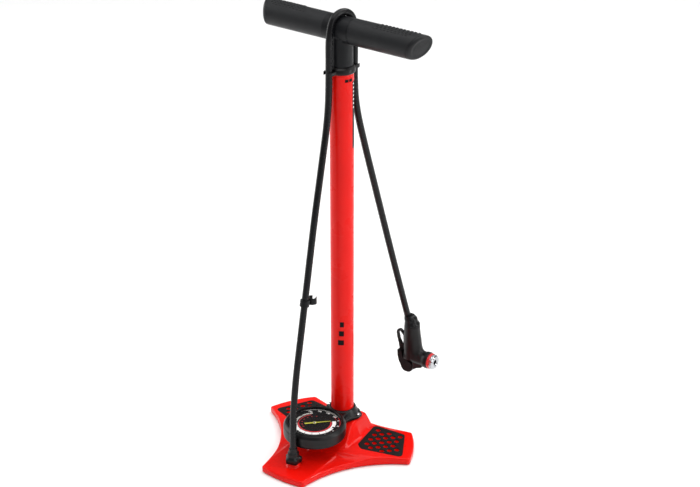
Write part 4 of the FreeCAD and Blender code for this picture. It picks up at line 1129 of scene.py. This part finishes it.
def make_head_shell():
    """The moulded head: an upright column that flares into the nozzle's collar."""
    x, y = HEAD
    column = rounded([(0, 79.5), (11.5, 79.5, 2), (13.1, 82, 2), (13.3, 134), (13.0, HEAD_TOP),
                      (0, HEAD_TOP)])
    nozzle = [(0, x - 8), (12.6, x - 8), (12.6, 59), (13.9, 64), (13.9, 69.6), (0, 69.6)]
    right = [(146.9, 46.9), (140, 47.4), (132, 48.6), (124, 50.3), (116, 51.4), (109, 52.8), (104.5, 55.0),
             (101, 58.5), (92, 62.0)]
    left = x - 12.5
    flare = [(z, ((edge + left) / 2, y), ((edge - left) / 2, 12.6)) for z, edge in right[::-1]]
    heel = [(PIVOT[0] - 5, 68), (PIVOT[0] + 16, 71), (PIVOT[0] + 20, 92), (PIVOT[0] - 5, 92)]
    keel = [(42.6, 70.5), (50, 76), (59, 79.4), (60, 92), (42.6, 92)]
    shapes = [turning(column, HEAD), turning(nozzle, lying=(y, NOZZLE_Z)), stacked(flare),
              prism(heel, y - 6.2, y + 6.2, upright=True), prism(keel, y - 10.8, y + 10.8, upright=True)]
    tools = [rod_cutter(y, NOZZLE_Z, 9.6, 46.5, 72), rod_cutter(y, NOZZLE_Z, 3.2, 30, 48),
             disc_cutter(x, y, 5.0, 126, 150)]
    cheek = [(18, 60), (42, 60), (42, 87.2), (18, 87.2)]
    for side in (-1, 1):
        tools.append(prism_cutter(cheek, *sorted((y + side * 6.3, y + side * 16)), upright=True))
    tools.append(prism_cutter(circle(*PIVOT, PIN_R + 0.05), y - 20, y + 20, upright=True))
    melted("head_shell", shapes, 0.5, 14, "moulded_black", "plunger", tools, sharp=45,
           replaces=("head_body",))


def make_boot():
    """The stepped rubber boot: a broad step, a shoulder and a narrower collar for the hose."""
    rings = [(HEAD_TOP + 0.15, 12.3, 0), (HEAD_TOP + 0.5, 12.8, 0), (150.3, 12.8, 0), (151.3, 12.4, 0.2),
             (153.6, 11.5, 0.9), (155.2, 11.0, 1.5), (156.2, 10.9, 1.8), (160.0, 10.7, 2.6),
             (161.2, 10.2, 2.8), (162.0, 9.4, 3.2), (163.4, 9.1, 3.9), (164.6, 8.4, 4.4),
             (164.6, 5.0, 5.6), (155.0, 3.05, 0), (HEAD_TOP + 0.15, 3.05, 0)]
    levels = [(z, (HEAD[0] - lean, HEAD[1] - 0.37 * lean), (radius, radius)) for z, radius, lean in rings]
    object_from("boot", *stacked(levels, closed=True), "hose_rubber", "plunger", 50,
                replaces=("hose_boot",))


def make_nozzle():
    """The red band and the bright cap that the valve goes into."""
    lying = (HEAD[1], NOZZLE_Z)
    band = rounded([(9.9, 69.7), (12.9, 69.7, 0.4), (13.1, 72), (12.8, 74.6, 0.4), (9.9, 74.6)])
    turned("band", band, "band_red", "plunger", lying=lying, closed=True, replaces=("red_band",))
    cap = rounded([(9.55, 58), (9.55, 74.75), (12.6, 74.75, 0.3), (12.6, 77.0, 0.5), (11.6, 77.4),
                   (11.6, 78.2), (12.1, 78.4, 0.3), (10.2, 80.4, 0.6), (6.6, 80.4, 0.6), (5.2, 79.4, 0.4),
                   (4.2, 79.4, 0.3), (4.2, 74.5), (8.2, 74.5), (8.2, 58)])
    turned("cap_shell", cap, "chrome", "plunger", lying=lying, closed=True, replaces=("nozzle_cap",))


def lever_side():
    """The lever's side view: pivot boss, back and finger loop."""
    boss = []
    for step in range(-170, 41, 10):
        angle = math.radians(step)
        reach = 10.2 + 2.3 * min(1.0, max(0.0, (step + 80) / 60))
        boss.append((PIVOT[0] + reach * math.cos(angle), PIVOT[1] + reach * math.sin(angle)))
    inner = [(22.5, 87, 3), (20.4, 98, 3), (20.4, 122, 6), (16.5, 130.5, 6), (11.5, 133.8, 4)]
    outer = [(6.8, 131.6, 3), (5.2, 127, 4), (6.4, 119, 6), (9.8, 107, 9), (11.6, 98, 6), (12.0, 89, 6)]
    return rounded(boss + inner + outer + [(14.6, 79, 6)], 5, closed=True)


def make_lever():
    """The flip lever: cheeks on the pin, a curved back and a finger loop at its top."""
    gap = rounded([(8.2, 126, 2), (9.8, 130.2, 2), (13.2, 130.0, 2), (18.9, 124, 3), (19.2, 110, 2),
                   (16.6, 104.5, 1), (10.4, 115, 4)], 5, closed=True)
    y = HEAD[1]
    side = lever_side()
    wide = [spot for spot in side if spot[1] < 100]
    shapes = [prism(outline, y - half, y + half, upright=True)
              for outline, half in ((side, LOOP_HALF), (wide, 9.7))]
    fork = [(20.8, 55), (60, 55), (60, 98), (20.8, 98)]
    tools = [prism_cutter(outline, y - half, y + half, upright=True)
             for outline, half in ((fork, 6.6), (gap, 20), (circle(*PIVOT, PIN_R + 0.06), 20))]
    tools.append(disc_cutter(*HEAD, 13.7, 86.8, 150))
    melted("lever", shapes, 0.4, 7, "lever_black", "lever", tools, sharp=45, replaces=("head_lever",))
    rod = prism(circle(*PIVOT, PIN_R, 48), y - 9.5, y + 9.5, upright=True)
    object_from("pin_shell", *rod, "lever_black", "plunger", replaces=("lever_pin",))


def make_head():
    make_head_shell()
    make_boot()
    make_nozzle()
    make_lever()


def soften(names, width):
    """Round the sharp edges of CAD nodes that keep their CAD shape."""
    for name in names:
        edge = frame["nodes"][name].modifiers.new("edges", "BEVEL")
        edge.width = width * MM
        edge.segments = 3
        edge.limit_method = "ANGLE"
        edge.angle_limit = math.radians(40)
        edge.harden_normals = False


# ---- Assembly ----
dress_cad_nodes()
make_camera()
make_stage()
hose, hose_line = make_hose()
make_base()
make_pads()
make_barrel()
make_nut()
make_gauge_shell()
make_dial_print()
make_handle()
make_head()
soften(["top_cap", "hose_clip"], 0.5)
soften(["bracket_screws"], 0.2)
